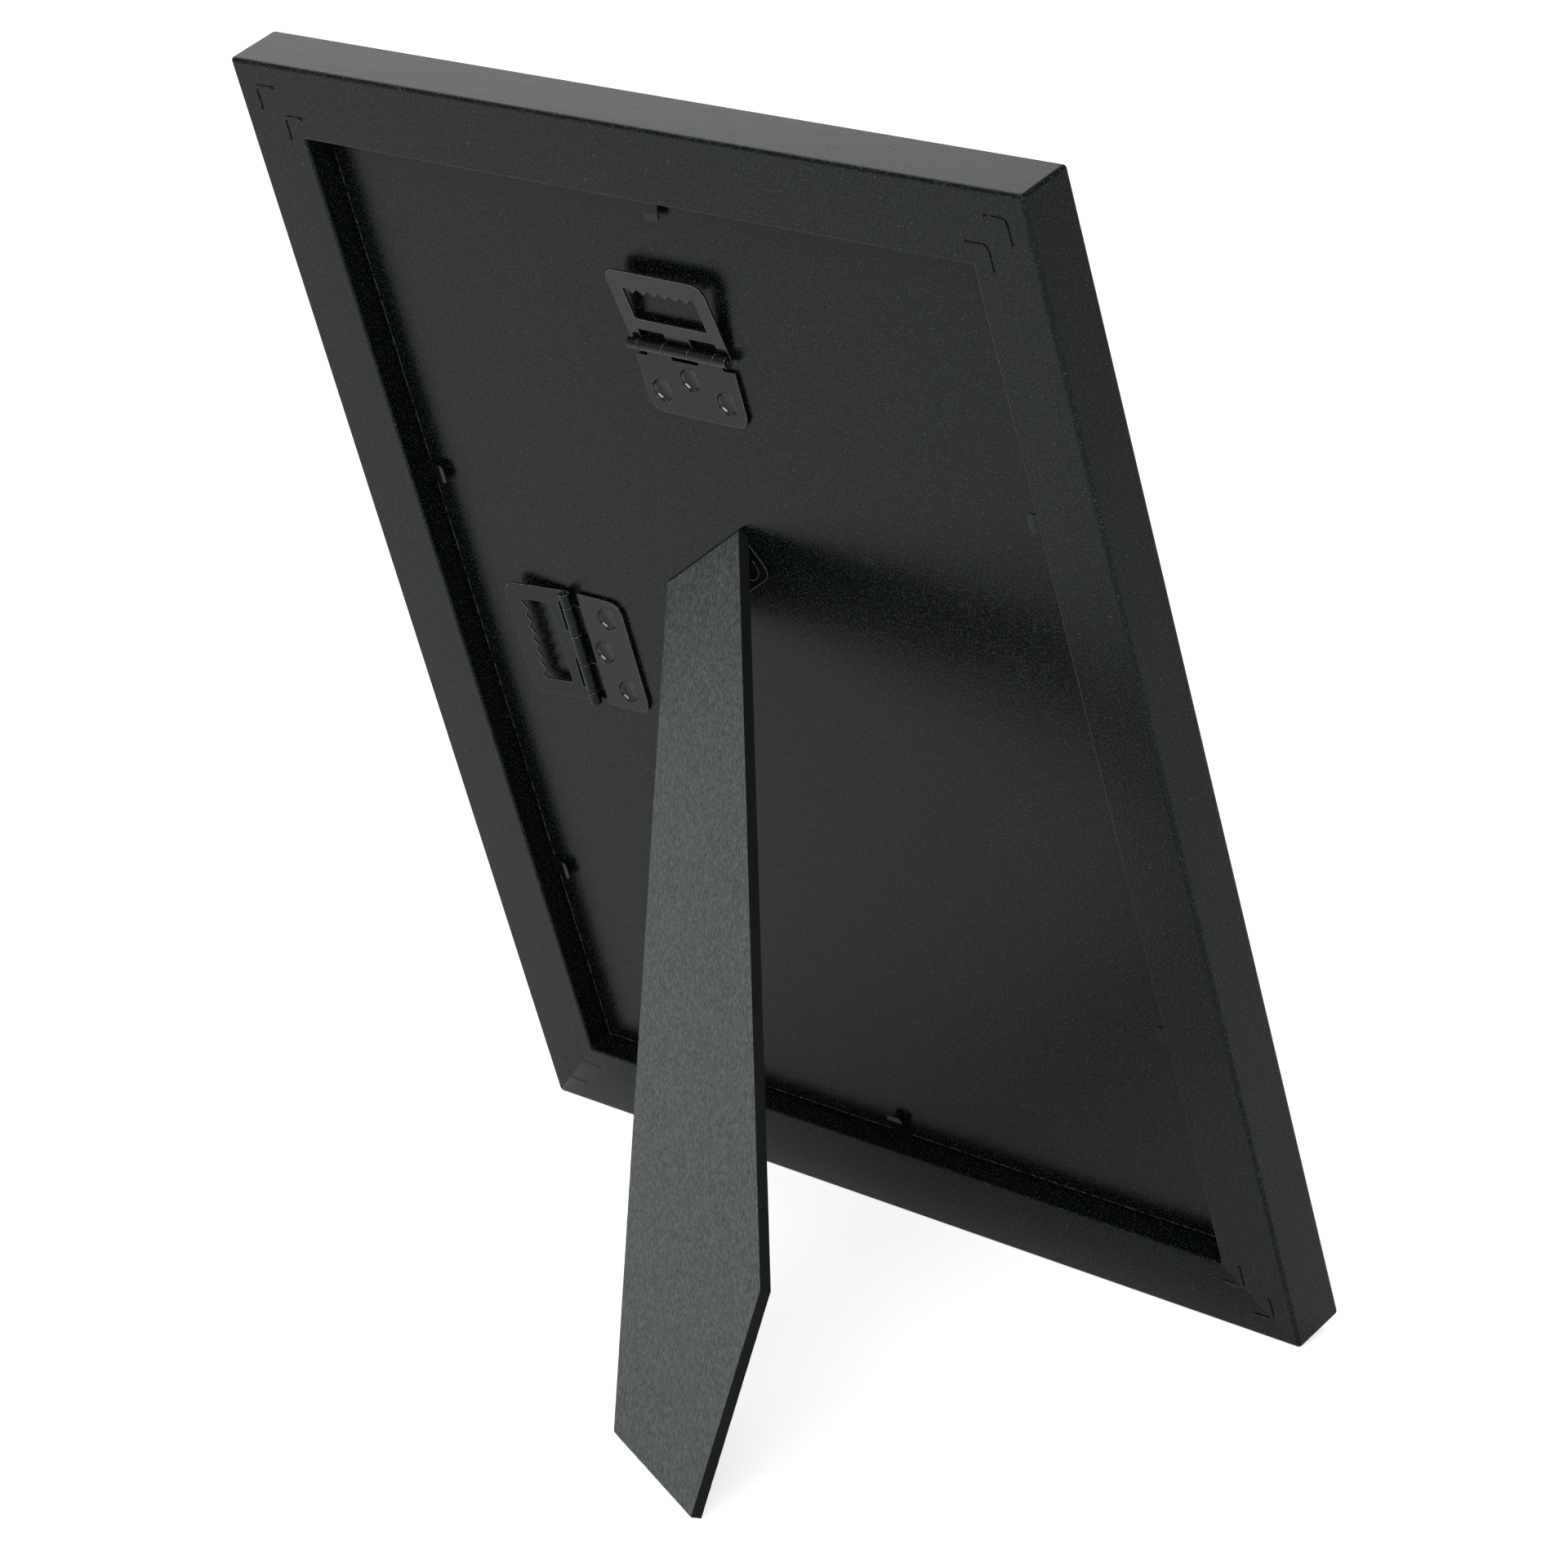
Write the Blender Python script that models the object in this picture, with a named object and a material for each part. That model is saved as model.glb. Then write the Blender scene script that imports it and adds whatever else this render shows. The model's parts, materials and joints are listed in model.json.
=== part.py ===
"""A black wooden photo frame for a picture of 8 by 10 inches, leaning on its strut.

The frame is modelled flat, seen from its back: X to the right, Y up the frame and Z out of
its back, with the back of the rails at zero. One empty then leans the whole of it back, until
the bottom rail and the strut's foot stand on the floor. Lengths are in metres.
"""
import math

import bmesh
import bpy
from mathutils import Matrix, Vector

# Clearances
FIT_GAP = 0.0003
OVERRUN = 0.001
WELD = 0.0000001
SHARP_ANGLE = math.radians(40)

# How the frame stands
LEAN = math.radians(16.9)

# Rails
OPENING_WIDE = 0.205
OPENING_TALL = 0.256
RAIL_WIDE = 0.0185
RAIL_DEEP = 0.0145
LIP_WIDE = 0.006
LIP_THICK = 0.0031
RAIL_EASE = 0.0008
MOUTH_EASE = 0.0005
EASE_STEPS = 2

# V-nails, whose places are measured from the two outer sides that meet at a corner
NAIL_PLACES = {"inner": 0.0137, "outer": 0.0067}
NAIL_LEG = 0.0065
NAIL_THICK = 0.0005
NAIL_TALL = 0.007
NAIL_SINK = 0.0002

# Glass, sheet and board
GLASS_PLAY = 0.0009
GLASS_THICK = 0.0018
SHEET_THICK = 0.0002
BOARD_THICK = 0.0025

# Tabs that hold the board in, with their places along each wall
TAB_WIDE = 0.0048
TAB_THICK = 0.00045
TAB_LONG = 0.007
TAB_RISE = 0.0011
TAB_BEND_SHARES = (0.2, 0.75)
TAB_PIVOT = 0.0006
TAB_CORNER = 0.0012
TAB_ROOT_LONG = 0.008
TAB_SHARES = {
    "bottom": {"bottom": 0.4985},
    "right": {"right_lower": 0.23, "right_upper": 0.748},
    "top": {"top": 0.484},
    "left": {"left_upper": 0.35, "left_lower": 0.792},
}

# Every hinge's sheet and pin
LEAF_THICK = 0.0006
PIN_RADIUS = 0.0006
PIN_PLAY = 0.0002
PIN_PROUD = 0.0003
BARREL_SIDES = 16
BORE_SIDES = 12
CORNER_STEPS = 4

# Hangers
HANGER_WIDE = 0.0306
HANGER_KNUCKLE_SHARES = (0.0, 0.1144, 0.3693, 0.6307, 0.8856, 1.0)
HANGER_CORNER = 0.0036
FIXED_LEAF_LONG = 0.0176
FIXED_SLOT = 0.0033
SAW_LEAF_LONG = 0.0199
SAW_SLOT = 0.0036
WINDOW_MARGIN = 0.0042
WINDOW_NEAR = 0.0066
WINDOW_FAR = 0.0153
WINDOW_CORNER = 0.0010
TOOTH_COUNT = 6
TEETH_GAP = 0.0002
TOOTH_DEEP = 0.0013
HANGER_RIVET_MARGIN = 0.0053
HANGER_RIVET_FAR = 0.0118
HANGER_RIVET_NEAR = 0.0076
TOP_HANGER_DOWN = 0.0585
TOP_HANGER_SWING = math.radians(8.6)
LEFT_HANGER_IN = 0.0563
LEFT_HANGER_DROP = 0.003
LEFT_HANGER_SWING = math.radians(6.6)

# Rivets with a rolled rim, and the flat ones in the strut
RIVET_RADIUS = 0.0032
RIVET_RIM_WIDE = 0.001
RIVET_RIM_TALL = 0.0007
RIVET_RIM_SHARES = ((0.0, 0.45), (0.2, 0.85), (0.5, 1.0), (0.8, 0.8), (1.0, 0.3))
RIVET_SHANK_RADIUS = 0.0014
RIVET_TAIL_RADIUS = 0.0022
RIVET_TAIL_TALL = 0.0006
RIVET_SIDES = 16
STRUT_RIVET_RADIUS = 0.0025
STRUT_RIVET_HEAD = 0.0004
STRUT_RIVET_DEEP = 0.0016

# Strut
STRUT_ACROSS = -0.0109
STRUT_UP_SHARE = 0.6051
STRUT_SLANT = math.radians(33.8)
STRUT_OPEN = math.radians(42.4)
STRUT_THICK = 0.0025
STRUT_HEEL_WIDE = 0.0357
STRUT_LEFT_FLARE_SHARE = 0.111
STRUT_RIGHT_FLARE_SHARE = 0.073

# Strut's hinge
EASEL_BARREL_WIDE = 0.015
EASEL_KNUCKLE_SHARES = (0.0, 0.28, 0.72, 1.0)
EASEL_SLOT = 0.0023
BOARD_LEAF_ABOVE = 0.0028
BOARD_LEAF_BELOW = 0.0059
BOARD_LEAF_CORNER = 0.003
BOARD_LEAF_RIVET_GAP = 0.004
BOARD_LEAF_RIVET_MARGIN = 0.0055
BOARD_LEAF_RIVET_BELOW = 0.0013
STRUT_LEAF_WIDE = 0.024
STRUT_LEAF_LONG = 0.0205
STRUT_LEAF_RIVET_SIDE = 0.007
STRUT_LEAF_RIVET_BELOW = 0.015

# Sizes that follow from those above
FRAME_WIDE = OPENING_WIDE + 2 * RAIL_WIDE
FRAME_TALL = OPENING_TALL + 2 * RAIL_WIDE
GLASS_FRONT = LIP_THICK - RAIL_DEEP + FIT_GAP
SHEET_FRONT = GLASS_FRONT + GLASS_THICK + FIT_GAP
BOARD_FRONT = SHEET_FRONT + SHEET_THICK + FIT_GAP
BOARD_BACK = BOARD_FRONT + BOARD_THICK
BORE_RADIUS = PIN_RADIUS + PIN_PLAY
BARREL_RADIUS = BORE_RADIUS + LEAF_THICK
PIN_RISE = BARREL_RADIUS + FIT_GAP
LEAF_TOP = LEAF_THICK - BARREL_RADIUS
TAB_MIDDLE = BOARD_BACK + FIT_GAP + TAB_THICK / 2
WINDOW_WIDE = HANGER_WIDE - 2 * WINDOW_MARGIN
TOOTH_PITCH = (WINDOW_WIDE - 2 * (WINDOW_CORNER + TEETH_GAP)) / TOOTH_COUNT
BOARD_LEAF_RIVET_SIDE = EASEL_BARREL_WIDE / 2 + BOARD_LEAF_RIVET_GAP
BOARD_LEAF_WIDE = 2 * (BOARD_LEAF_RIVET_SIDE + BOARD_LEAF_RIVET_MARGIN)

# Each wall of the frame: a point on its outer side, its turn, and how long the side is
QUARTER = math.pi / 2
WALLS = {
    "bottom": ((0, 0, 0), 0, FRAME_WIDE),
    "right": ((FRAME_WIDE / 2, FRAME_TALL / 2, 0), QUARTER, FRAME_TALL),
    "top": ((0, FRAME_TALL, 0), 2 * QUARTER, FRAME_WIDE),
    "left": ((-FRAME_WIDE / 2, FRAME_TALL / 2, 0), 3 * QUARTER, FRAME_TALL),
}

# Each finish: colour, roughness and metallic
FINISHES = {
    "painted_wood": ((0.035, 0.040, 0.040), 0.55, 0.0),
    "hardboard": ((0.030, 0.033, 0.033), 0.75, 0.0),
    "strut_board": ((0.045, 0.048, 0.047), 0.80, 0.0),
    "black_steel": ((0.020, 0.022, 0.022), 0.35, 0.6),
    "clear_glass": ((0.80, 0.84, 0.83), 0.05, 0.0),
    "plain_paper": ((0.85, 0.85, 0.83), 0.85, 0.0),
}


def clear_scene():
    for thing in list(bpy.data.objects):
        bpy.data.objects.remove(thing, do_unlink=True)


def finish(name):
    """The Principled material of one finish."""
    colour, roughness, metallic = FINISHES[name]
    material = bpy.data.materials.get(name) or bpy.data.materials.new(name)
    material.use_nodes = True
    shader = material.node_tree.nodes["Principled BSDF"]
    shader.inputs["Base Color"].default_value = (*colour, 1.0)
    shader.inputs["Roughness"].default_value = roughness
    shader.inputs["Metallic"].default_value = metallic
    return material


def holder(name, parent, place=(0, 0, 0), turn=(0, 0, 0)):
    """An empty that carries pieces, at a place on its parent and turned about X, Y and Z."""
    empty = bpy.data.objects.new(name, None)
    bpy.context.collection.objects.link(empty)
    empty.parent = parent
    empty.location = place
    empty.rotation_euler = turn
    return empty


def add(name, shape, parent, finish_name, smooth=False):
    """Make a named object of a shape, lying on its parent."""
    mesh = bpy.data.meshes.new(name)
    shape.to_mesh(mesh)
    shape.free()
    mesh.materials.append(finish(finish_name))
    if smooth:
        mesh.shade_smooth()
        mesh.set_sharp_from_angle(angle=SHARP_ANGLE)
    piece = bpy.data.objects.new(name, mesh)
    bpy.context.collection.objects.link(piece)
    piece.parent = parent
    return piece


def helper(name, shape, parent):
    """A shape that cuts or joins another, and isn't a piece itself."""
    piece = add(name, shape, parent, "black_steel")
    piece.hide_render = True
    piece.display_type = "WIRE"
    return piece


def combine(piece, other, operation):
    change = piece.modifiers.new(operation.lower(), "BOOLEAN")
    change.operation = operation
    change.object = other
    change.solver = "EXACT"


def pulled(ring, way, shape=None):
    """Pull a ring of points along a way into a closed solid."""
    shape = shape or bmesh.new()
    face = shape.faces.new([shape.verts.new(point) for point in ring])
    grown = bmesh.ops.extrude_face_region(shape, geom=[face])
    moved = [item for item in grown["geom"] if isinstance(item, bmesh.types.BMVert)]
    bmesh.ops.translate(shape, verts=moved, vec=way)
    bmesh.ops.recalc_face_normals(shape, faces=shape.faces)
    return shape


def slab(outline, low, high, shape=None):
    """A flat piece: an outline in X and Y, between two heights."""
    return pulled([(x, y, low) for x, y in outline], (0, 0, high - low), shape)


def rectangle(x_low, x_high, y_low, y_high):
    return [(x_low, y_low), (x_high, y_low), (x_high, y_high), (x_low, y_high)]


def arc(centre, radius, start, stop, steps):
    """Points on an arc, with both its ends."""
    turns = [start + (stop - start) * step / steps for step in range(steps + 1)]
    return [(centre[0] + radius * math.cos(t), centre[1] + radius * math.sin(t)) for t in turns]


def rounded(points, radii, steps=CORNER_STEPS):
    """An outline whose corners are arcs of the given radii, zero for a sharp corner."""
    outline = []
    for index, radius in enumerate(radii):
        corner = Vector(points[index])
        before = (Vector(points[index - 1]) - corner).normalized()
        after = (Vector(points[(index + 1) % len(points)]) - corner).normalized()
        if radius == 0:
            outline.append(tuple(corner))
            continue
        half = before.angle(after) / 2
        centre = corner + (before + after).normalized() * radius / math.sin(half)
        first = corner + before * radius / math.tan(half) - centre
        last = corner + after * radius / math.tan(half) - centre
        start = math.atan2(first.y, first.x)
        sweep = math.atan2(first.x * last.y - first.y * last.x, first.dot(last))
        outline += arc(centre, radius, start, start + sweep, steps)
    return outline


def drum(radius, low, high, sides, place=(0, 0), shape=None):
    """A plain round bar that stands at a place."""
    return slab(arc(place, radius, 0, math.tau, sides)[:-1], low, high, shape)


def turned(profile, sides, place=(0, 0), shape=None):
    """A round solid that stands at a place: a profile of radius and height, ends on its axis."""
    shape = shape or bmesh.new()
    points = [shape.verts.new((place[0] + out, place[1], height)) for out, height in profile]
    edges = [shape.edges.new(pair) for pair in zip(points, points[1:])]
    bmesh.ops.spin(shape, geom=points + edges, cent=(*place, 0), axis=(0, 0, 1),
                   angle=math.tau, steps=sides, use_merge=True)
    bmesh.ops.remove_doubles(shape, verts=shape.verts, dist=WELD)
    bmesh.ops.recalc_face_normals(shape, faces=shape.faces)
    return shape


def rail_section():
    """A rail's section: in from its outer side, and out of its back."""
    lip_top = LIP_THICK - RAIL_DEEP
    points = [(0, 0), (0, -RAIL_DEEP), (RAIL_WIDE + LIP_WIDE, -RAIL_DEEP),
              (RAIL_WIDE + LIP_WIDE, lip_top), (RAIL_WIDE, lip_top), (RAIL_WIDE, 0)]
    radii = [RAIL_EASE, RAIL_EASE, RAIL_EASE, 0, 0, MOUTH_EASE]
    return rounded(points, radii, EASE_STEPS)


def rail_shape(length):
    """A rail along X, whose ends are cut to the mitre."""
    mitre_gap = FIT_GAP / 2 * math.sqrt(2)
    ends = [(length / 2 - inward - mitre_gap, inward, out) for inward, out in rail_section()]
    shape = pulled(ends, (-length, 0, 0))
    for point in shape.verts:
        if point.co.x < 0:
            point.co.x = point.co.y + mitre_gap - length / 2
    return shape


def nail_outline(place, gap):
    """A V-nail seen from the back, with a leg along each of the two sides."""
    low = place - gap
    bend = place + NAIL_THICK + gap
    end = place + NAIL_LEG + gap
    return [(low, low), (end, low), (end, bend), (bend, bend), (bend, end), (low, end)]


def build_rails(frame):
    """The four rails, their V-nails and the driven ends of the tabs."""
    rails = {}
    walls = {}
    for side, (place, turn, length) in WALLS.items():
        walls[side] = holder("side_" + side, frame, place, (0, 0, turn))
        rails[side] = add("rail_" + side, rail_shape(length), walls[side], "painted_wood")
    sides = list(WALLS)
    for index, side in enumerate(sides):
        before = sides[index - 1]
        _, turn, length = WALLS[side]
        start = Vector(WALLS[side][0]) - Matrix.Rotation(turn, 3, "Z") @ Vector((length / 2, 0, 0))
        corner = holder("corner_" + before + "_" + side, frame, start, (0, 0, turn))
        slots = bmesh.new()
        for name, place in NAIL_PLACES.items():
            low = -NAIL_SINK - NAIL_TALL
            nail = slab(nail_outline(place, 0), low, -NAIL_SINK)
            add("v_nail_" + before + "_" + side + "_" + name, nail, corner, "black_steel")
            slab(nail_outline(place, FIT_GAP), low - FIT_GAP, OVERRUN, slots)
        cutter = helper("nail_slots_" + before + "_" + side, slots, corner)
        combine(rails[side], cutter, "DIFFERENCE")
        combine(rails[before], cutter, "DIFFERENCE")
    for side, tabs in TAB_SHARES.items():
        build_tabs(walls[side], rails[side], WALLS[side][2], tabs)


def tab_shape():
    """A tab from the bend at its wall to its lifted tip, about its bending line."""
    start = FIT_GAP - TAB_PIVOT
    tip = TAB_LONG - TAB_PIVOT
    flat, ramp = (start + (tip - start) * share for share in TAB_BEND_SHARES)
    half = TAB_THICK / 2
    path = [(start, 0), (flat, 0), (ramp, TAB_RISE), (tip, TAB_RISE)]
    section = [(along, up - half) for along, up in path]
    section += [(along, up + half) for along, up in reversed(path)]
    shape = pulled([(-TAB_WIDE / 2, along, up) for along, up in section], (TAB_WIDE, 0, 0))
    corners = [edge for edge in shape.edges
               if all(abs(point.co.y - tip) < WELD for point in edge.verts)
               and abs(edge.verts[0].co.x - edge.verts[1].co.x) < WELD]
    bmesh.ops.bevel(shape, geom=corners, offset=TAB_CORNER, segments=2, profile=0.5,
                    affect="EDGES", material=-1)
    return shape


def build_tabs(wall, rail, length, tabs):
    """The tabs of one wall: a steel strip driven into the wood, bent where it comes out."""
    opening = length - 2 * RAIL_WIDE
    half_wide = TAB_WIDE / 2
    half_thick = TAB_THICK / 2
    for name, share in tabs.items():
        place = (opening * (share - 0.5), RAIL_WIDE, TAB_MIDDLE)
        mouth = holder("tab_mouth_" + name, wall, place)
        outline = rectangle(-half_wide, half_wide, -TAB_ROOT_LONG, 0)
        add("tab_root_" + name, slab(outline, -half_thick, half_thick), mouth, "black_steel")
        wide = half_wide + FIT_GAP
        thick = half_thick + FIT_GAP
        pocket = slab(rectangle(-wide, wide, -TAB_ROOT_LONG - FIT_GAP, OVERRUN), -thick, thick)
        combine(rail, helper("tab_pocket_" + name, pocket, mouth), "DIFFERENCE")
        bend = holder("tab_bend_" + name, mouth, (0, TAB_PIVOT, 0))
        add("tab_" + name, tab_shape(), bend, "black_steel")


def sheet(name, frame, front, thick, finish_name):
    """A flat sheet that fills the rebate."""
    half = OPENING_WIDE / 2 - GLASS_PLAY
    low = RAIL_WIDE + GLASS_PLAY
    outline = rectangle(-half, half, low, FRAME_TALL - low)
    return add(name, slab(outline, front, front + thick), frame, finish_name)


def knuckles(edges, length, mine, tail, out, side):
    """A leaf's curled knuckles along X, each with a straight tail that runs out to its plate.

    out is the way along Y in which the tails run. side is 1 where they pass under the pin and
    -1 where they pass over it.
    """
    shape = bmesh.new()
    flat = BARREL_RADIUS - LEAF_THICK
    join = math.atan2(-flat, math.sqrt(BARREL_RADIUS ** 2 - flat ** 2))
    section = [(tail, -BARREL_RADIUS), (tail, -flat)]
    section += arc((0, 0), BARREL_RADIUS, join, 3 * QUARTER, BARREL_SIDES)
    for index in mine:
        low = (edges[index] - 0.5) * length
        high = (edges[index + 1] - 0.5) * length
        low += FIT_GAP / 2 if index > 0 else 0
        high -= FIT_GAP / 2 if index + 2 < len(edges) else 0
        ring = [(low, along * out, height * side) for along, height in section]
        pulled(ring, (high - low, 0, 0), shape)
    return shape


def bar(radius, length, sides):
    """A round bar along X, centred."""
    ring = arc((0, 0), radius, 0, math.tau, sides)[:-1]
    return pulled([(-length / 2, y, z) for y, z in ring], (length, 0, 0))


def leaf(name, parent, plate, curls, holes, width):
    """A hinge's leaf: its plate, its knuckles, and its bore and other holes."""
    piece = add(name, plate, parent, "black_steel")
    combine(piece, helper(name + "_knuckles", curls, parent), "UNION")
    bore = bar(BORE_RADIUS, width + 2 * OVERRUN, BORE_SIDES)
    combine(piece, helper(name + "_bore", bore, parent), "DIFFERENCE")
    if holes:
        combine(piece, helper(name + "_holes", holes, parent), "DIFFERENCE")
    return piece


def rivet_shape(place):
    """A rivet through a leaf and the board, with a rolled rim and a sunk tail."""
    head = LEAF_TOP + FIT_GAP
    tail = BOARD_FRONT - BOARD_BACK - PIN_RISE
    inner = RIVET_RADIUS - RIVET_RIM_WIDE
    rim = [(inner + wide * RIVET_RIM_WIDE, head + tall * RIVET_RIM_TALL)
           for wide, tall in RIVET_RIM_SHARES]
    profile = [(0, rim[0][1])] + rim + [(RIVET_RADIUS, head), (RIVET_SHANK_RADIUS, head)]
    profile += [(RIVET_SHANK_RADIUS, tail + RIVET_TAIL_TALL)]
    profile += [(RIVET_TAIL_RADIUS, tail + RIVET_TAIL_TALL), (RIVET_TAIL_RADIUS, tail), (0, tail)]
    return turned(profile, RIVET_SIDES, place)


def rivet_hole(place, shape):
    """What a rivet's shank and tail need of the board."""
    tail = BOARD_FRONT - BOARD_BACK - PIN_RISE
    step = tail + RIVET_TAIL_TALL + FIT_GAP
    shank = RIVET_SHANK_RADIUS + FIT_GAP
    wide = RIVET_TAIL_RADIUS + FIT_GAP
    profile = [(0, OVERRUN - PIN_RISE), (shank, OVERRUN - PIN_RISE), (shank, step)]
    profile += [(wide, step), (wide, tail - OVERRUN), (0, tail - OVERRUN)]
    return turned(profile, BORE_SIDES, place, shape)


def riveted(name, parent, board, places):
    """Rivets at places on a hinge that lies on the board, and the leaf's holes for them."""
    leaf_holes = bmesh.new()
    board_holes = bmesh.new()
    for index, place in enumerate(places, start=1):
        add(f"{name}_rivet_{index}", rivet_shape(place), parent, "black_steel", smooth=True)
        shank = RIVET_SHANK_RADIUS + FIT_GAP
        drum(shank, -PIN_RISE, LEAF_TOP + OVERRUN, BORE_SIDES, place, leaf_holes)
        rivet_hole(place, board_holes)
    combine(board, helper(name + "_board_holes", board_holes, parent), "DIFFERENCE")
    return leaf_holes


def window_outline():
    """The opening in a saw-tooth leaf, with the teeth on its far side."""
    half = WINDOW_WIDE / 2
    near = [(-half, WINDOW_NEAR), (half, WINDOW_NEAR)]
    inset = half - WINDOW_CORNER
    low = WINDOW_FAR - WINDOW_CORNER
    right = arc((inset, low), WINDOW_CORNER, 0, QUARTER, CORNER_STEPS)
    left = arc((-inset, low), WINDOW_CORNER, QUARTER, 2 * QUARTER, CORNER_STEPS)
    start = TOOTH_COUNT * TOOTH_PITCH / 2
    teeth = [(start, WINDOW_FAR)]
    for index in range(TOOTH_COUNT):
        edge = start - index * TOOTH_PITCH
        teeth.append((edge - TOOTH_PITCH / 2, WINDOW_FAR - TOOTH_DEEP))
        teeth.append((edge - TOOTH_PITCH, WINDOW_FAR))
    return near + right + teeth + left


def build_hanger(name, frame, board, place, turn, swing):
    """A hinged saw-tooth hanger: X along its pin, Y towards the saw-tooth leaf."""
    half = HANGER_WIDE / 2
    base = holder(name, frame, (*place, BOARD_BACK + PIN_RISE), (0, 0, turn))
    side = half - HANGER_RIVET_MARGIN
    places = [(-side, -HANGER_RIVET_FAR), (0, -HANGER_RIVET_NEAR), (side, -HANGER_RIVET_FAR)]
    holes = riveted(name, base, board, places)
    corners = rectangle(-half, half, -FIXED_LEAF_LONG, -FIXED_SLOT)
    plate = slab(rounded(corners, [HANGER_CORNER, HANGER_CORNER, 0, 0]), -BARREL_RADIUS, LEAF_TOP)
    curls = knuckles(HANGER_KNUCKLE_SHARES, HANGER_WIDE, (1, 3), FIXED_SLOT + OVERRUN, -1, 1)
    leaf(name + "_fixed_leaf", base, plate, curls, holes, HANGER_WIDE)
    pin = bar(PIN_RADIUS, HANGER_WIDE + 2 * PIN_PROUD, BORE_SIDES)
    add(name + "_pin", pin, base, "black_steel", smooth=True)
    raised = holder(name + "_swing", base, turn=(swing, 0, 0))
    corners = rectangle(-half, half, SAW_SLOT, SAW_LEAF_LONG)
    plate = slab(rounded(corners, [0, 0, HANGER_CORNER, HANGER_CORNER]), -BARREL_RADIUS, LEAF_TOP)
    curls = knuckles(HANGER_KNUCKLE_SHARES, HANGER_WIDE, (0, 2, 4), SAW_SLOT + OVERRUN, 1, 1)
    window = slab(window_outline(), -PIN_RISE, OVERRUN)
    leaf(name + "_saw_leaf", raised, plate, curls, window, HANGER_WIDE)


def meet(planes):
    """The point that lies on three planes, each given as a normal and a height along it."""
    return Matrix([normal for normal, _ in planes]).inverted() @ Vector([h for _, h in planes])


def strut_corners(stand, rest):
    """The strut's corners, in its own axes: X along its pin, Y up it and Z out of its face.

    stand places those axes on the frame, and rest is how far the rails' eased edges lift it.
    """
    def seen(normal, height):
        turned_normal = stand.to_3x3().transposed() @ Vector(normal)
        return turned_normal, height - Vector(normal).dot(stand.translation)

    inner = ((0, 0, 1), PIN_RISE)
    outer = ((0, 0, 1), PIN_RISE + STRUT_THICK)
    heel = seen((0, 0, 1), BOARD_BACK + FIT_GAP)
    upright = seen((0, math.cos(LEAN), -math.sin(LEAN)), rest)
    sideways = seen((-math.cos(LEAN), 0, -math.sin(LEAN)),
                    rest - FRAME_WIDE / 2 * math.cos(LEAN))
    heel_up = meet([((1, 0, 0), 0), heel, inner]).y
    half = STRUT_HEEL_WIDE / 2
    left = ((1, -STRUT_LEFT_FLARE_SHARE, 0), -half - STRUT_LEFT_FLARE_SHARE * heel_up)
    right = ((1, STRUT_RIGHT_FLARE_SHARE, 0), half + STRUT_RIGHT_FLARE_SHARE * heel_up)
    foot = [(left, upright), (upright, sideways), (sideways, right)]
    foot = [meet([*pair, inner]) for pair in foot]
    lift = Vector((0, 0, STRUT_THICK))
    inside = [meet([left, heel, inner])] + foot + [meet([right, heel, inner])]
    outside = [meet([left, heel, outer])] + [point + lift for point in foot]
    outside.append(meet([right, heel, outer]))
    return inside, outside


def strut_shape(inside, outside):
    """The strut: its inner and outer faces, bridged by its edges."""
    shape = bmesh.new()
    rings = []
    for corners in (inside, outside):
        points = [shape.verts.new(corner) for corner in corners]
        rings += [shape.edges.new((points[index - 1], points[index])) for index in range(len(points))]
        shape.faces.new(points)
    bmesh.ops.bridge_loops(shape, edges=rings)
    bmesh.ops.recalc_face_normals(shape, faces=shape.faces)
    return shape


def board_leaf_outline():
    """The leaf on the board, with a notch for the barrel in its upper side."""
    half = BOARD_LEAF_WIDE / 2
    notch = EASEL_BARREL_WIDE / 2 + FIT_GAP
    points = rectangle(-half, half, -BOARD_LEAF_BELOW, BOARD_LEAF_ABOVE)
    points[3:3] = [(notch, BOARD_LEAF_ABOVE), (notch, -EASEL_SLOT),
                   (-notch, -EASEL_SLOT), (-notch, BOARD_LEAF_ABOVE)]
    return rounded(points, [BOARD_LEAF_CORNER, BOARD_LEAF_CORNER, 0, 0, 0, 0, 0, 0])


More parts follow.
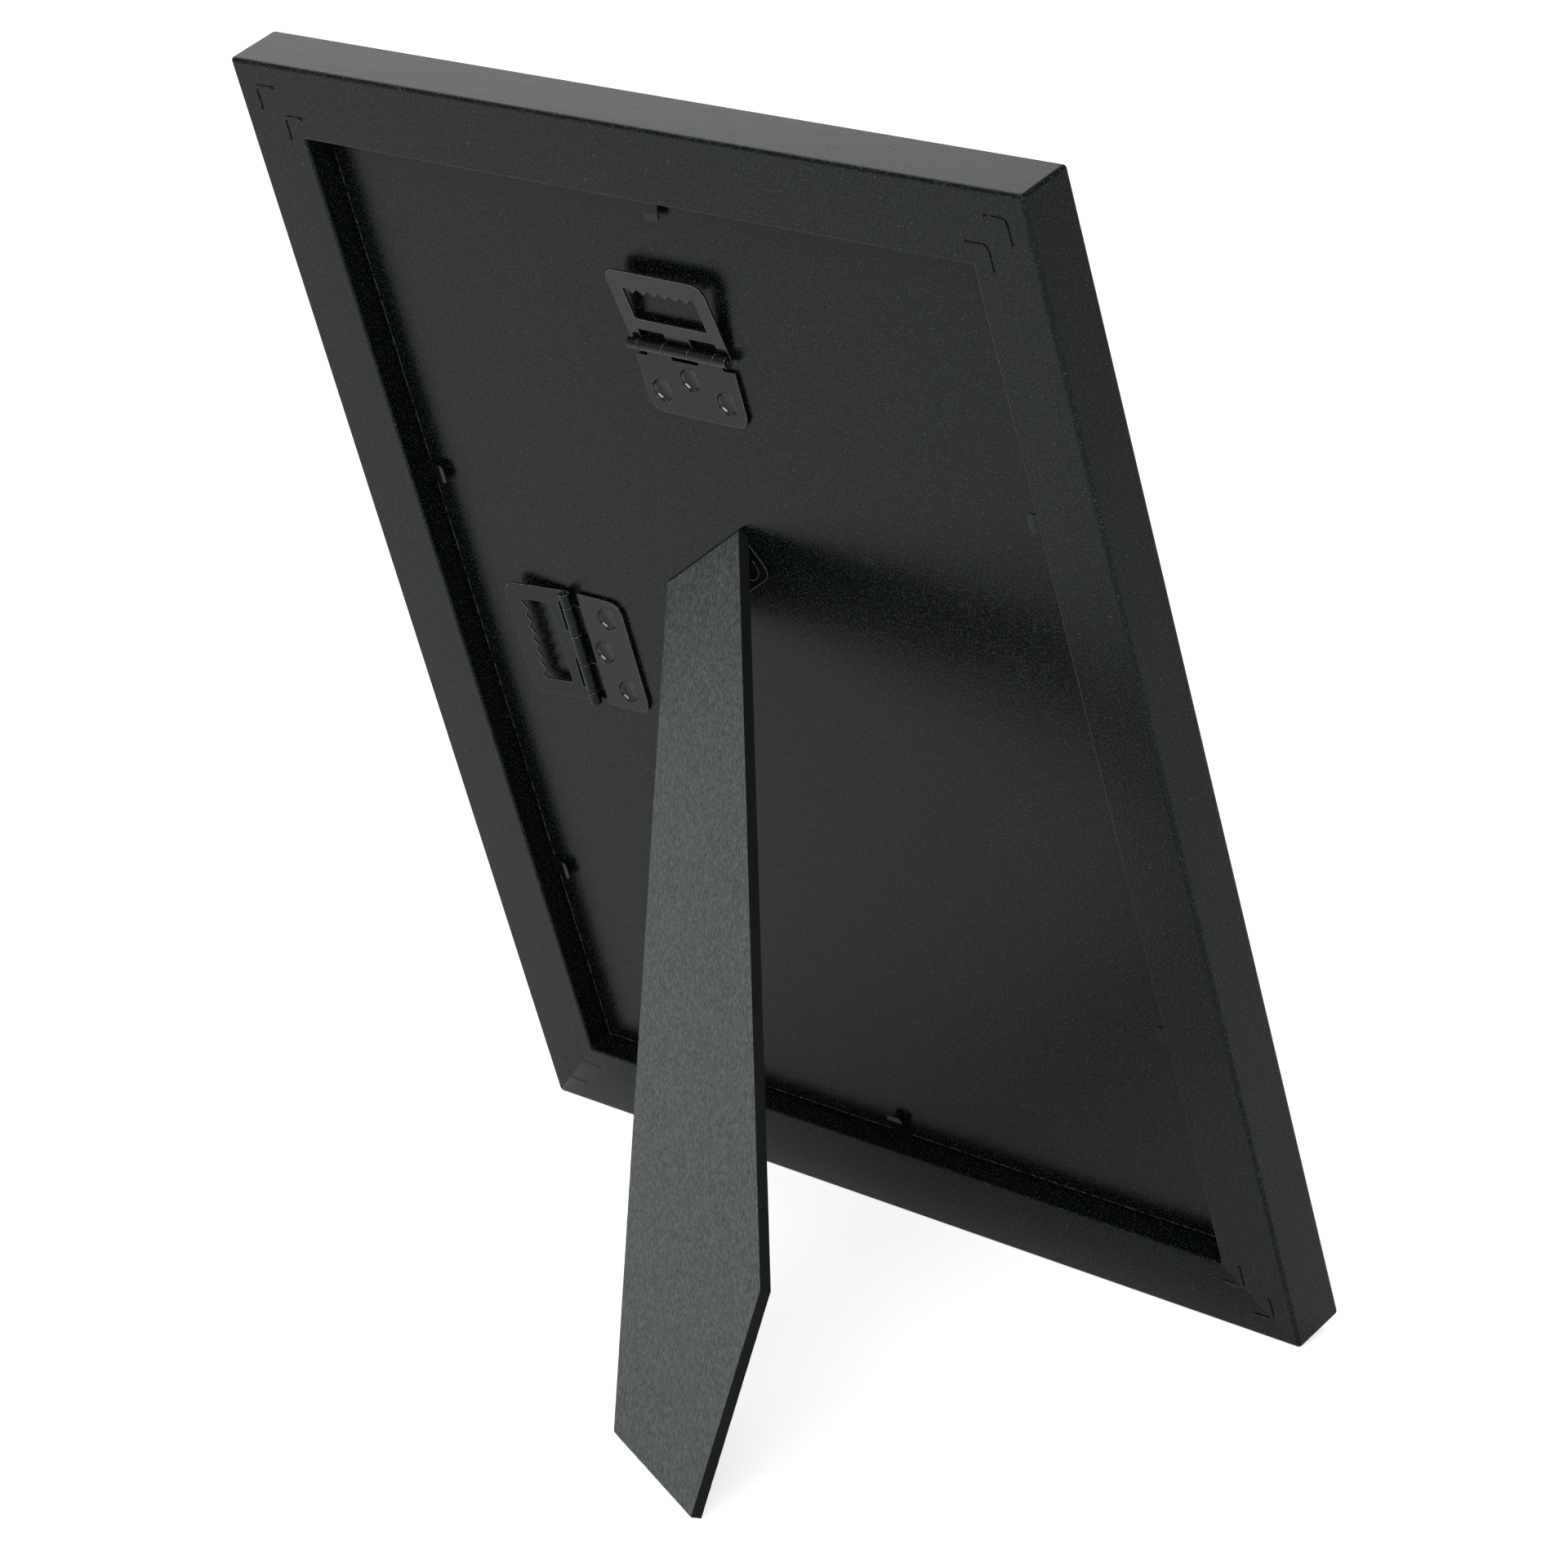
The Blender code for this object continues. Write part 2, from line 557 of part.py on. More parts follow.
def build_strut(board, base, swing, inside, outside):
    """The strut, both leaves of its hinge, the pin and the rivets."""
    strut = add("easel_strut", strut_shape(inside, outside), swing, "strut_board")
    side = BOARD_LEAF_RIVET_SIDE
    places = [(-side, -BOARD_LEAF_RIVET_BELOW), (side, -BOARD_LEAF_RIVET_BELOW)]
    holes = riveted("easel_board", base, board, places)
    plate = slab(board_leaf_outline(), -BARREL_RADIUS, LEAF_TOP)
    shares = EASEL_KNUCKLE_SHARES
    curls = knuckles(shares, EASEL_BARREL_WIDE, (0, 2), EASEL_SLOT + OVERRUN, -1, 1)
    leaf("easel_board_leaf", base, plate, curls, holes, EASEL_BARREL_WIDE)
    pin = bar(PIN_RADIUS, EASEL_BARREL_WIDE + 2 * PIN_PROUD, BORE_SIDES)
    add("easel_pin", pin, base, "black_steel", smooth=True)

    half = STRUT_LEAF_WIDE / 2
    corners = rectangle(-half, half, -STRUT_LEAF_LONG, -EASEL_SLOT)
    outline = rounded(corners, [BOARD_LEAF_CORNER, BOARD_LEAF_CORNER, 0, 0])
    plate = slab(outline, -LEAF_TOP, BARREL_RADIUS)
    curls = knuckles(shares, EASEL_BARREL_WIDE, (1,), EASEL_SLOT + OVERRUN, -1, -1)
    leaf_holes = bmesh.new()
    strut_holes = bmesh.new()
    shank = RIVET_SHANK_RADIUS + FIT_GAP
    under = -LEAF_TOP - FIT_GAP
    end = PIN_RISE + STRUT_RIVET_DEEP
    for index, side in enumerate((-STRUT_LEAF_RIVET_SIDE, STRUT_LEAF_RIVET_SIDE), start=1):
        place = (side, -STRUT_LEAF_RIVET_BELOW)
        head = under - STRUT_RIVET_HEAD
        profile = [(0, end), (RIVET_SHANK_RADIUS, end), (RIVET_SHANK_RADIUS, under)]
        profile += [(STRUT_RIVET_RADIUS, under), (STRUT_RIVET_RADIUS, head), (0, head)]
        rivet = turned(profile, RIVET_SIDES, place)
        add(f"easel_strut_rivet_{index}", rivet, swing, "black_steel", smooth=True)
        drum(shank, under, PIN_RISE, BORE_SIDES, place, leaf_holes)
        drum(shank, BARREL_RADIUS, end + FIT_GAP, BORE_SIDES, place, strut_holes)
    leaf("easel_strut_leaf", swing, plate, curls, leaf_holes, EASEL_BARREL_WIDE)
    combine(strut, helper("strut_rivet_holes", strut_holes, swing), "DIFFERENCE")


def main():
    clear_scene()
    section = rail_section()
    rest = min(inward * math.cos(LEAN) - out * math.sin(LEAN) for inward, out in section)
    across = Vector((math.sin(STRUT_SLANT), -math.cos(STRUT_SLANT), 0))
    corner = Vector((STRUT_ACROSS, FRAME_TALL * STRUT_UP_SHARE, BOARD_BACK))
    pin = corner + across * PIN_RISE / math.tan(STRUT_OPEN / 2)
    pin.z += PIN_RISE
    slant = Matrix.Translation(pin) @ Matrix.Rotation(STRUT_SLANT, 4, "Z")
    inside, outside = strut_corners(slant @ Matrix.Rotation(-STRUT_OPEN, 4, "X"), rest)

    # The origin is on the floor, halfway between the front of the rails and the strut's tip
    stand = Matrix.Rotation(math.pi, 4, "Z") @ Matrix.Rotation(QUARTER + LEAN, 4, "X")
    open_strut = stand @ slant @ Matrix.Rotation(-STRUT_OPEN, 4, "X")
    rearmost = max((open_strut @ corner).y for corner in inside + outside)
    foremost = min((stand @ Vector((0, inward, out))).y for inward, out in section)
    frame = holder("lean", None, (0, -(rearmost + foremost) / 2, -rest),
                   (QUARTER + LEAN, 0, math.pi))

    build_rails(frame)
    sheet("glass", frame, GLASS_FRONT, GLASS_THICK, "clear_glass")
    sheet("picture_sheet", frame, SHEET_FRONT, SHEET_THICK, "plain_paper")
    board = sheet("back_board", frame, BOARD_FRONT, BOARD_THICK, "hardboard")
    top = (0, FRAME_TALL - TOP_HANGER_DOWN)
    build_hanger("hanger_top", frame, board, top, 0, TOP_HANGER_SWING)
    left = (LEFT_HANGER_IN - FRAME_WIDE / 2, FRAME_TALL / 2 - LEFT_HANGER_DROP)
    build_hanger("hanger_left", frame, board, left, QUARTER, LEFT_HANGER_SWING)
    base = holder("easel_base", frame, pin, (0, 0, STRUT_SLANT))
    swing = holder("easel_swing", base, turn=(-STRUT_OPEN, 0, 0))
    build_strut(board, base, swing, inside, outside)


main()
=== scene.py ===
"""The looks of a black wooden photo frame that leans on its strut.

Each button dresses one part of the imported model: the painted wood, the glass and the back, the
tabs, the two saw-tooth hangers, the strut and its hinge. The last one sets a pale stage with
soft light. Lengths are in metres. Pieces are modelled in the frame's own axes, seen from its
back: X to the right, Y up the frame and Z out of its back, with the back of the rails at zero.
"""

import json
import math

import bmesh
import bpy
from bpy.props import FloatProperty, FloatVectorProperty, IntProperty, PointerProperty
from mathutils import Matrix, Vector, noise


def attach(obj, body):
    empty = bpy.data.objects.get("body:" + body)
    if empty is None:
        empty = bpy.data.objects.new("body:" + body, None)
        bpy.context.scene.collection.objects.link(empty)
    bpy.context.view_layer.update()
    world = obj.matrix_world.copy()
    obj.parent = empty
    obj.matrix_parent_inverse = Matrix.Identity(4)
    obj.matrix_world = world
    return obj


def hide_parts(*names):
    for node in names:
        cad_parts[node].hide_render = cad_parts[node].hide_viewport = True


bl_info = {
    "name": "Photo frame on a strut",
    "version": (1, 0, 0),
    "blender": (4, 5, 0),
    "location": "3D View > Sidebar > Photo frame",
    "description": "Models and finishes a black wooden photo frame that leans on its strut",
    "category": "Object",
}

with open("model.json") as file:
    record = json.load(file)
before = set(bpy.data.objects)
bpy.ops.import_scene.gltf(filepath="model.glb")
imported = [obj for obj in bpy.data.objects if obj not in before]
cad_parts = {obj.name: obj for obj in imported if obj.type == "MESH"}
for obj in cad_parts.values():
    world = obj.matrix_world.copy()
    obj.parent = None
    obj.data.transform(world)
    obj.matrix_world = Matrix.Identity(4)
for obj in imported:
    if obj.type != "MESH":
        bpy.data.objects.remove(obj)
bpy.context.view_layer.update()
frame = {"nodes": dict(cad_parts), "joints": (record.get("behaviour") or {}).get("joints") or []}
JOINTS = {joint["name"]: joint for joint in frame["joints"]}
QUARTER = math.pi / 2
MILLIMETRE = 0.001
# Points nearer than this count as touching.
TOUCHING = 0.01 * MILLIMETRE
# An edge or a normal counts as upright when this share of it is.
NEARLY = 0.9
# Edges that bend more than this are sharp, and can be eased.
SHARP = math.radians(35)
# How far a leaf's tongues curl round the pin.
CURL = math.radians(284)
# Where the knuckles of a hanger's barrel, and of the strut's, meet: shares of its width.
HANGER_SHARES = (0.0, 0.1144, 0.3693, 0.6307, 0.8856, 1.0)
EASEL_SHARES = (0.0, 0.28, 0.72, 1.0)
# Where the wall of a rivet's cup bends: shares of its depth.
WALL_SHARES = (0.06, 0.14, 0.26, 0.38, 0.50, 0.62, 0.74, 0.86, 0.94)
# Where a tab starts to rise and where it is level again: shares of its length.
TAB_BENDS = (0.2, 0.75)
# What the black finishes mirror is tinted faintly green.
SOFT_BLACK_TINT = (0.86, 1.0, 0.96)


def amount(name, description, default, unit="NONE"):
    return FloatProperty(name=name, description=description, default=default, unit=unit)


def length(name, description, default):
    return FloatProperty(name=name, description=description, default=default, unit="LENGTH",
                         precision=5)


def angle(name, description, degrees):
    return FloatProperty(name=name, description=description, default=math.radians(degrees),
                         subtype="ANGLE")


def spot(name, description, default):
    return FloatVectorProperty(name=name, description=description, default=default,
                               unit="LENGTH", precision=5)


def linear(text):
    """The linear colour of an sRGB hex value."""
    shares = [int(text[place:place + 2], 16) / 255 for place in (1, 3, 5)]
    return [share / 12.92 if share <= 0.04045 else ((share + 0.055) / 1.055) ** 2.4
            for share in shares]


def colour(name, description, text):
    return FloatVectorProperty(name=name, description=description, default=linear(text),
                               subtype="COLOR", min=0.0, max=1.0)


class FrameSizes(bpy.types.PropertyGroup):
    """Sizes of the wooden frame, its nails, tabs and back."""
    lean: angle("Lean", "How far the frame leans back", 16.9)
    opening_wide: length("Opening width", "Width of the rebate", 0.205)
    opening_tall: length("Opening height", "Height of the rebate", 0.256)
    rail_wide: length("Rail width", "Width of a rail's back", 0.0185)
    rail_deep: length("Rail depth", "Depth of a rail, front to back", 0.0145)
    lip_wide: length("Lip width", "How far the lip reaches over the glass", 0.006)
    lip_thick: length("Lip thickness", "Thickness of the front lip", 0.0031)
    outer_ease: length("Outer easing", "Rounding of the outer edges", 0.0010)
    mouth_ease: length("Inner easing", "Rounding of the opening's edges", 0.0006)
    nail_inner: length("Inner nail", "Inner V-nail's distance from both outer sides", 0.0137)
    nail_outer: length("Outer nail", "Outer V-nail's distance from both outer sides", 0.0067)
    nail_leg: length("Nail leg", "Length of a V-nail's leg", 0.0060)
    nail_hook: length("Nail hook", "Length of the hook that ends a leg", 0.0010)
    nail_tall: length("Nail height", "How deep a V-nail is driven", 0.007)
    nail_thick: length("Nail thickness", "Thickness of a V-nail", 0.0008)
    nail_proud: length("Nail ridge", "How far a painted nail stands out", 0.00022)
    nail_filled: length("Filled ridge", "The same where the nails are filled over", 0.00002)
    board_back: length("Board depth", "How deep the board lies below the rails", 0.0060)
    board_thick: length("Board thickness", "Thickness of the back board", 0.0025)
    board_play: length("Board play", "Room between the board and a rail", 0.0009)
    # The rim is partly pale fibre and partly a painted highlight for the glint of the board's edge.
    rim_fibres_and_highlight: length("Raw rim", "Width of the board's thinly stained rim", 0.00055)
    tab_wide: length("Tab width", "Width of a tab", 0.0048)
    tab_thick: length("Tab thickness", "Thickness of a tab", 0.00045)
    tab_long: length("Tab length", "How far a tab reaches from the rail", 0.007)
    tab_rise: length("Tab rise", "How far a tab's tip is lifted", 0.0011)
    tab_pivot: length("Tab bend", "Distance of its bending line from the rail", 0.0006)
    gap: length("Gap", "Clearance between pieces that touch", 0.0003)


class HangerSizes(bpy.types.PropertyGroup):
    """Sizes of the two saw-tooth hangers and of every hinge's sheet and pin."""
    width: length("Hanger width", "Width of both leaves", 0.0306)
    sheet: length("Sheet", "Thickness of every hinge's leaves", 0.0006)
    barrel: length("Barrel radius", "Outer radius of every hinge's knuckles", 0.0014)
    pin: length("Pin radius", "Radius of every hinge's pin", 0.0006)
    pin_proud: length("Pin end", "How far a pin stands out of its barrel", 0.0003)
    pin_down: length("Pin below top", "Distance of the top hanger's pin from the top", 0.0585)
    corner: length("Leaf corner", "Radius of the leaves' outer corners", 0.0036)
    fixed_long: length("Fixed leaf", "Length of the riveted leaf from the pin", 0.0176)
    fixed_slot: length("Fixed slot", "Room for the other leaf's knuckles", 0.0033)
    saw_long: length("Saw leaf", "Length of the saw leaf from the pin", 0.0199)
    saw_slot: length("Saw slot", "Room between the saw leaf and the barrel", 0.0036)
    window_margin: length("Window side", "Steel left at each side of the window", 0.0042)
    window_near: length("Window start", "Distance of the window from the pin", 0.0066)
    window_far: length("Window end", "Distance of the teeth's roots from the pin", 0.0153)
    window_corner: length("Window corner", "Radius of the window's far corners", 0.0010)
    teeth: IntProperty(name="Teeth", description="Number of saw teeth", default=6)
    teeth_share: amount("Teeth share", "Share of the window's width with teeth", 0.892)
    tooth_deep: length("Tooth depth", "Depth of a saw tooth", 0.0013)
    rivet_margin: length("Rivet side", "Distance of the side rivets from the side", 0.0053)
    rivet_far: length("Side rivets", "Distance of the side rivets from the pin", 0.0118)
    rivet_near: length("Middle rivet", "Distance of the middle rivet from the pin", 0.0076)
    rivet_radius: length("Rivet radius", "Outer radius of a rivet's lip", 0.0032)
    lip_wide: length("Lip width", "Width of a rivet's rolled lip", 0.00035)
    lip_tall: length("Lip height", "How far the lip stands out of the leaf", 0.00012)
    cup_deep: length("Cup depth", "How deep a rivet's cup is pressed in", 0.0008)
    cup_slope: length("Cup slope", "How much narrower the cup is at its floor", 0.00045)
    cup_hollow: amount("Cup hollow", "How much steeper the wall gets at its rim", 1.5)
    cup_wall: length("Cup wall", "Thickness of the cup's wall", 0.00015)
    top_swing: angle("Top swing", "How far the top saw leaf is off the board", 8.6)
    left_swing: angle("Left swing", "How far the left saw leaf is off the board", 6.6)
    edge: length("Sheet edge", "Rounding of the stamped edges", 0.00026)


class StrutSizes(bpy.types.PropertyGroup):
    """Sizes of the strut and its hinge."""
    slant: angle("Slant", "How far the strut's hinge is turned from level", 33.8)
    open: angle("Opening", "How far the strut is swung out", 42.4)
    cut_wave: length("Cut edge", "How far the sawn outline wanders", 0.00009)
    cut_step: length("Cut length", "Length of one wave of the sawn outline", 0.0014)
    cut_seed: IntProperty(name="Cut seed", description="Which such outline is drawn", default=1,
                          min=1)
    cut_least: length("Shortest cut", "Length of the shortest side that wanders", 0.010)
    heel_bevel: length("Heel bevel", "How far down the top edge's bevel runs", 0.0016)
    heel_angle: angle("Heel angle", "Angle of that bevel to the strut's face", 30.0)
    barrel_wide: length("Barrel width", "Width of the hinge's barrel", 0.015)
    slot: length("Slot", "Room for the other leaf's knuckles", 0.0023)
    board_leaf_wide: length("Board leaf width", "Width of the leaf on the board", 0.034)
    board_leaf_above: length("Board leaf above", "Its reach above the pin", 0.0028)
    board_leaf_below: length("Board leaf below", "Its reach below the pin", 0.0059)
    leaf_corner: length("Leaf corner", "Radius of the leaves' corners", 0.003)
    rivet_side: length("Rivet side", "Distance of its rivets from the middle", 0.0115)
    rivet_below: length("Rivet below", "Distance of its rivets below the pin", 0.0013)
    strut_leaf_wide: length("Strut leaf width", "Width of the leaf under the strut", 0.024)
    strut_leaf_long: length("Strut leaf length", "Its length from the pin", 0.0205)
    blind_side: length("Blind rivet side", "Distance of its rivets from the middle", 0.007)
    blind_below: length("Blind rivet below", "Distance of its rivets from the pin", 0.015)
    blind_radius: length("Blind rivet radius", "Radius of its rivets' heads", 0.0025)
    blind_head: length("Blind rivet head", "Height of its rivets' heads", 0.0004)


class Finishes(bpy.types.PropertyGroup):
    """Colours of the finishes."""
    paint: colour("Paint", "Satin black lacquer", "#040706")
    paint_light: colour("Paint, light", "The lacquer where its orange peel is thin", "#39413e")
    dust: colour("Dust", "Fine dust on every back face", "#4b504d")
    board: colour("Back board", "Stained hardboard", "#040706")
    board_fibre: colour("Board fibres", "Pale fibres in the back board's face", "#3f4845")
    # Partly pale fibre, partly a painted highlight: the glint of the board's rim, painted in.
    rim_fibre_and_highlight_colour: colour("Raw fibres", "Fibres at the board's rim that took little stain", "#50534f")
    strut: colour("Strut", "Stained hardboard, brushed", "#181e1d")
    strut_fibre: colour("Strut fibres", "Pale fibres in the strut's face", "#4f5653")
    cut: colour("Sawn edge", "The strut's sawn edges", "#0c0f0e")
    steel: colour("Coated steel", "Black coating on the hinges and tabs", "#090c0b")
    steel_worn: colour("Coating, thin", "The coating where it is rubbed", "#202524")
    # The stamped edges' colour: partly the rubbed coat, partly a painted highlight for their glint.
    edge: colour("Rubbed edge", "The coating on the stamped edges", "#4c5250")
    glass: colour("Glass", "Tint of the glass", "#f8fbf9")
    paper: colour("Paper", "Blank picture sheet", "#efeeea")


class StageSettings(bpy.types.PropertyGroup):
    """The camera, the floor and the light."""
    place: spot("Camera place", "Where the camera stands", (-0.8275, 0.7976, 0.5196))
    turn: FloatVectorProperty(name="Camera turn", description="How the camera is turned",
                              default=[math.radians(turn) for turn in (71.072, 1.989, -135.738)],
                              subtype="EULER")
    lens: amount("Lens", "Focal length, for a sensor 36 mm wide", 124.58, "CAMERA")
    floor_size: length("Floor size", "Side of the square floor", 8.0)
    floor_colour: colour("Floor", "Pale studio floor", "#e0e0e0")
    floor_seen: amount("Floor glow", "Its own light, as the camera sees it", 0.70)
    floor_mirrored: amount("Floor in gloss", "Its own light, as a gloss mirrors it", 0.22)
    world: amount("World", "Strength of the light from all round", 0.48)
    world_mirrored: amount("World in gloss", "Its strength, as a gloss mirrors it", 0.38)
    far_place: spot("Far softbox", "Where the far softbox stands", (1.25, -0.5, 1.4))
    far_size: length("Far softbox size", "Side of the softbox over the frame's front", 1.6)
    far_power: amount("Far softbox power", "Its power", 11.0, "POWER")
    near_place: spot("Near softbox", "Where the near softbox stands", (-0.6, 1.05, 1.05))
    near_wide: length("Near softbox width", "Long side of the strip by the camera", 1.4)
    near_tall: length("Near softbox height", "Short side of that strip", 0.40)
    near_tilt: angle("Near softbox tilt", "How far the strip is tilted from level", -38.0)
    near_power: amount("Near softbox power", "Its power", 13.5, "POWER")


GROUPS = {"frame_sizes": FrameSizes, "hanger_sizes": HangerSizes, "strut_sizes": StrutSizes,
          "frame_finishes": Finishes, "frame_stage": StageSettings}


def sizes(name):
    return getattr(bpy.context.scene, name)


def leaning():
    """The turn from the frame's own axes to the standing frame."""
    lean = QUARTER + sizes("frame_sizes").lean
    return Matrix.Rotation(math.pi, 4, "Z") @ Matrix.Rotation(lean, 4, "X")


def at_joint(name, turn=0.0, tilt=0.0):
    """Axes on a joint: turned in the plane of the back, then tilted out of it about X."""
    place = Matrix.Translation(JOINTS[name]["pos_m"])
    return place @ leaning() @ Matrix.Rotation(turn, 4, "Z") @ Matrix.Rotation(tilt, 4, "X")


def on_frame(x=0.0, y=0.0, z=0.0, turn=0.0):
    """Axes at a place on the frame, from the middle of its bottom side's back edge. The joint
    of the top hanger, whose place on the frame is known, says where that is."""
    sized = sizes("frame_sizes")
    hinge = sizes("hanger_sizes")
    pin = Vector((0, tall(sized) - hinge.pin_down, sized.gap + hinge.barrel - sized.board_back))
    place = at_joint("top_hanger_swing") @ Matrix.Translation(Vector((x, y, z)) - pin)
    return place @ Matrix.Rotation(turn, 4, "Z")


def wide(sized):
    return sized.opening_wide + 2 * sized.rail_wide


def tall(sized):
    return sized.opening_tall + 2 * sized.rail_wide


def pick(items, kind):
    return [item for item in items if isinstance(item, kind)]


def face_height(face):
    return face.calc_center_median().z


def is_upright(edge):
    """Whether an edge runs from back to front."""
    way = edge.verts[1].co - edge.verts[0].co
    return abs(way.z) > NEARLY * way.length


def is_on_back(edge):
    """Whether an edge lies in the plane of the rails' back."""
    return all(abs(point.co.z) < TOUCHING for point in edge.verts)


def bevel(shape, parts, size, steps, affect="EDGES"):
    """Round some edges or corners of a shape."""
    bmesh.ops.bevel(shape, geom=parts, offset=size, offset_type="OFFSET", segments=steps,
                    profile=0.5, affect=affect, material=-1)


def inset(shape, face, thickness):
    """Inset a face, and give the faces of its new rim."""
    made = bmesh.ops.inset_region(shape, faces=[face], thickness=thickness,
                                  use_even_offset=True)
    return made["faces"]


def keep_side(shape, point, normal):
    """Cut a shape with a plane, keep the side that the normal leaves, and close the cut."""
    geometry = shape.verts[:] + shape.edges[:] + shape.faces[:]
    cut = bmesh.ops.bisect_plane(shape, geom=geometry, plane_co=point, plane_no=normal,
                                 clear_outer=True)
    bmesh.ops.holes_fill(shape, edges=pick(cut["geom_cut"], bmesh.types.BMEdge))


def block(size, middle=(0, 0, 0)):
    """A new shape: a block about its middle."""
    shape = bmesh.new()
    bmesh.ops.create_cube(shape, size=1.0)
    bmesh.ops.scale(shape, verts=shape.verts, vec=size)
    bmesh.ops.translate(shape, verts=shape.verts, vec=middle)
    return shape


def strip(path, way):
    """A new shape: a path of points, swept one way."""
    shape = bmesh.new()
    points = [shape.verts.new(point) for point in path]
    edges = [shape.edges.new(pair) for pair in zip(points, points[1:])]
    grown = bmesh.ops.extrude_edge_only(shape, edges=edges)
    bmesh.ops.translate(shape, verts=pick(grown["geom"], bmesh.types.BMVert), vec=way)
    return shape


def flat_face(shape, points, rounding):
    """A flat face from a few points; rounding gives some corners, by number, a radius."""
    corners = [shape.verts.new((*point, 0)) for point in points]
    shape.faces.new(corners)
    for radius in set(rounding.values()):
        chosen = [corners[number] for number, size in rounding.items() if size == radius]
        bevel(shape, chosen, radius, 5, "VERTICES")


def raise_faces(shape, low, high):
    """Turn the flat faces of a shape into a solid between two heights."""
    bmesh.ops.translate(shape, verts=shape.verts, vec=(0, 0, low))
    grown = bmesh.ops.extrude_face_region(shape, geom=shape.faces[:])
    top = pick(grown["geom"], bmesh.types.BMVert)
    bmesh.ops.translate(shape, verts=top, vec=(0, 0, high - low))
    bmesh.ops.recalc_face_normals(shape, faces=shape.faces)


def turned(profile, steps, place=(0, 0)):
    """A new shape: a profile of radius and height, spun about an upright axis."""
    shape = bmesh.new()
    points = [shape.verts.new((place[0] + out, place[1], height)) for out, height in profile]
    edges = [shape.edges.new(pair) for pair in zip(points, points[1:])]
    bmesh.ops.spin(shape, geom=points + edges, cent=(*place, 0), axis=(0, 0, 1),
                   angle=math.tau, steps=steps, use_merge=True)
    bmesh.ops.remove_doubles(shape, verts=shape.verts, dist=TOUCHING / 10)
    bmesh.ops.recalc_face_normals(shape, faces=shape.faces)
    return shape


def place_piece(name, shape, place, body, nodes, materials, ease=0.0, segments=2):
    """Make an object of a shape, put it in place and let it stand for CAD nodes. Its eased
    edges take the last material."""
    bmesh.ops.transform(shape, matrix=place, verts=shape.verts)
    bmesh.ops.recalc_face_normals(shape, faces=shape.faces)
    mesh = bpy.data.meshes.new(name)
    shape.to_mesh(mesh)
    shape.free()
    for material in materials:
        mesh.materials.append(material)
    mesh.shade_smooth()
    mesh.set_sharp_from_angle(angle=SHARP)
    piece = bpy.data.objects.new(name, mesh)
    bpy.context.scene.collection.objects.link(piece)
    if ease:
        easing = piece.modifiers.new("easing", "BEVEL")
        easing.width = ease
        easing.segments = segments
        easing.limit_method = "ANGLE"
        easing.angle_limit = SHARP
        easing.harden_normals = True
        easing.material = len(materials) - 1
    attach(piece, body)
    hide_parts(*nodes)
    return piece


def dress(node, material):
    """Give a CAD node that stays as it is its finish."""
    mesh = frame["nodes"][node].data
    mesh.materials.clear()
    mesh.materials.append(material)


def add_node(tree, kind, inputs=None, **settings):
    """Add a shader node with its settings, and set or link its sockets.

    A node that is given for a socket is linked by its first live output.
    """
    made = tree.nodes.new("ShaderNode" + kind)
    for name, value in settings.items():
        setattr(made, name, value)
    for name, value in (inputs or {}).items():
        socket = made.inputs[name]
        if isinstance(value, bpy.types.Node):
            value = next(output for output in value.outputs if output.enabled)
        if isinstance(value, bpy.types.NodeSocket):
            tree.links.new(value, socket)
        else:
            socket.default_value = (*value, 1.0) if socket.type == "RGBA" else value
    return made


def new_material(name):
    """An empty material and its node tree."""
    material = bpy.data.materials.new(name)
    material.use_nodes = True
    material.node_tree.nodes.clear()
    return material, material.node_tree


def finished(material, face, relief, depth, sockets):
    """A material whose face has a colour, a relief of a depth in millimetres, and the rest of
    its shader's sockets."""
    tree = material.node_tree
    bump = add_node(tree, "Bump", {"Height": relief, "Distance": depth * MILLIMETRE})
    shader = add_node(tree, "BsdfPrincipled", {"Base Color": face, "Normal": bump, **sockets})
    add_node(tree, "OutputMaterial", {"Surface": shader})
    return material


def grains(tree, size, turn=0.0, tilt=0.0, detail=2.0, roughness=0.5, distortion=0.0):
    """Noise with grains of a size in millimetres along X, Y and Z of the frame's own axes, or
    of axes turned in the plane of the back and then tilted out of it."""
    axes = leaning() @ Matrix.Rotation(turn, 4, "Z") @ Matrix.Rotation(tilt, 4, "X")
    where = add_node(tree, "TexCoord").outputs["Object"]
    laid = add_node(tree, "Mapping", {"Vector": where, "Rotation": axes.to_euler(),
                                      "Scale": [part * MILLIMETRE for part in size]},
                    vector_type="TEXTURE")
    return add_node(tree, "TexNoise", {"Vector": laid, "Scale": 1.0, "Detail": detail,
                                       "Roughness": roughness, "Distortion": distortion})


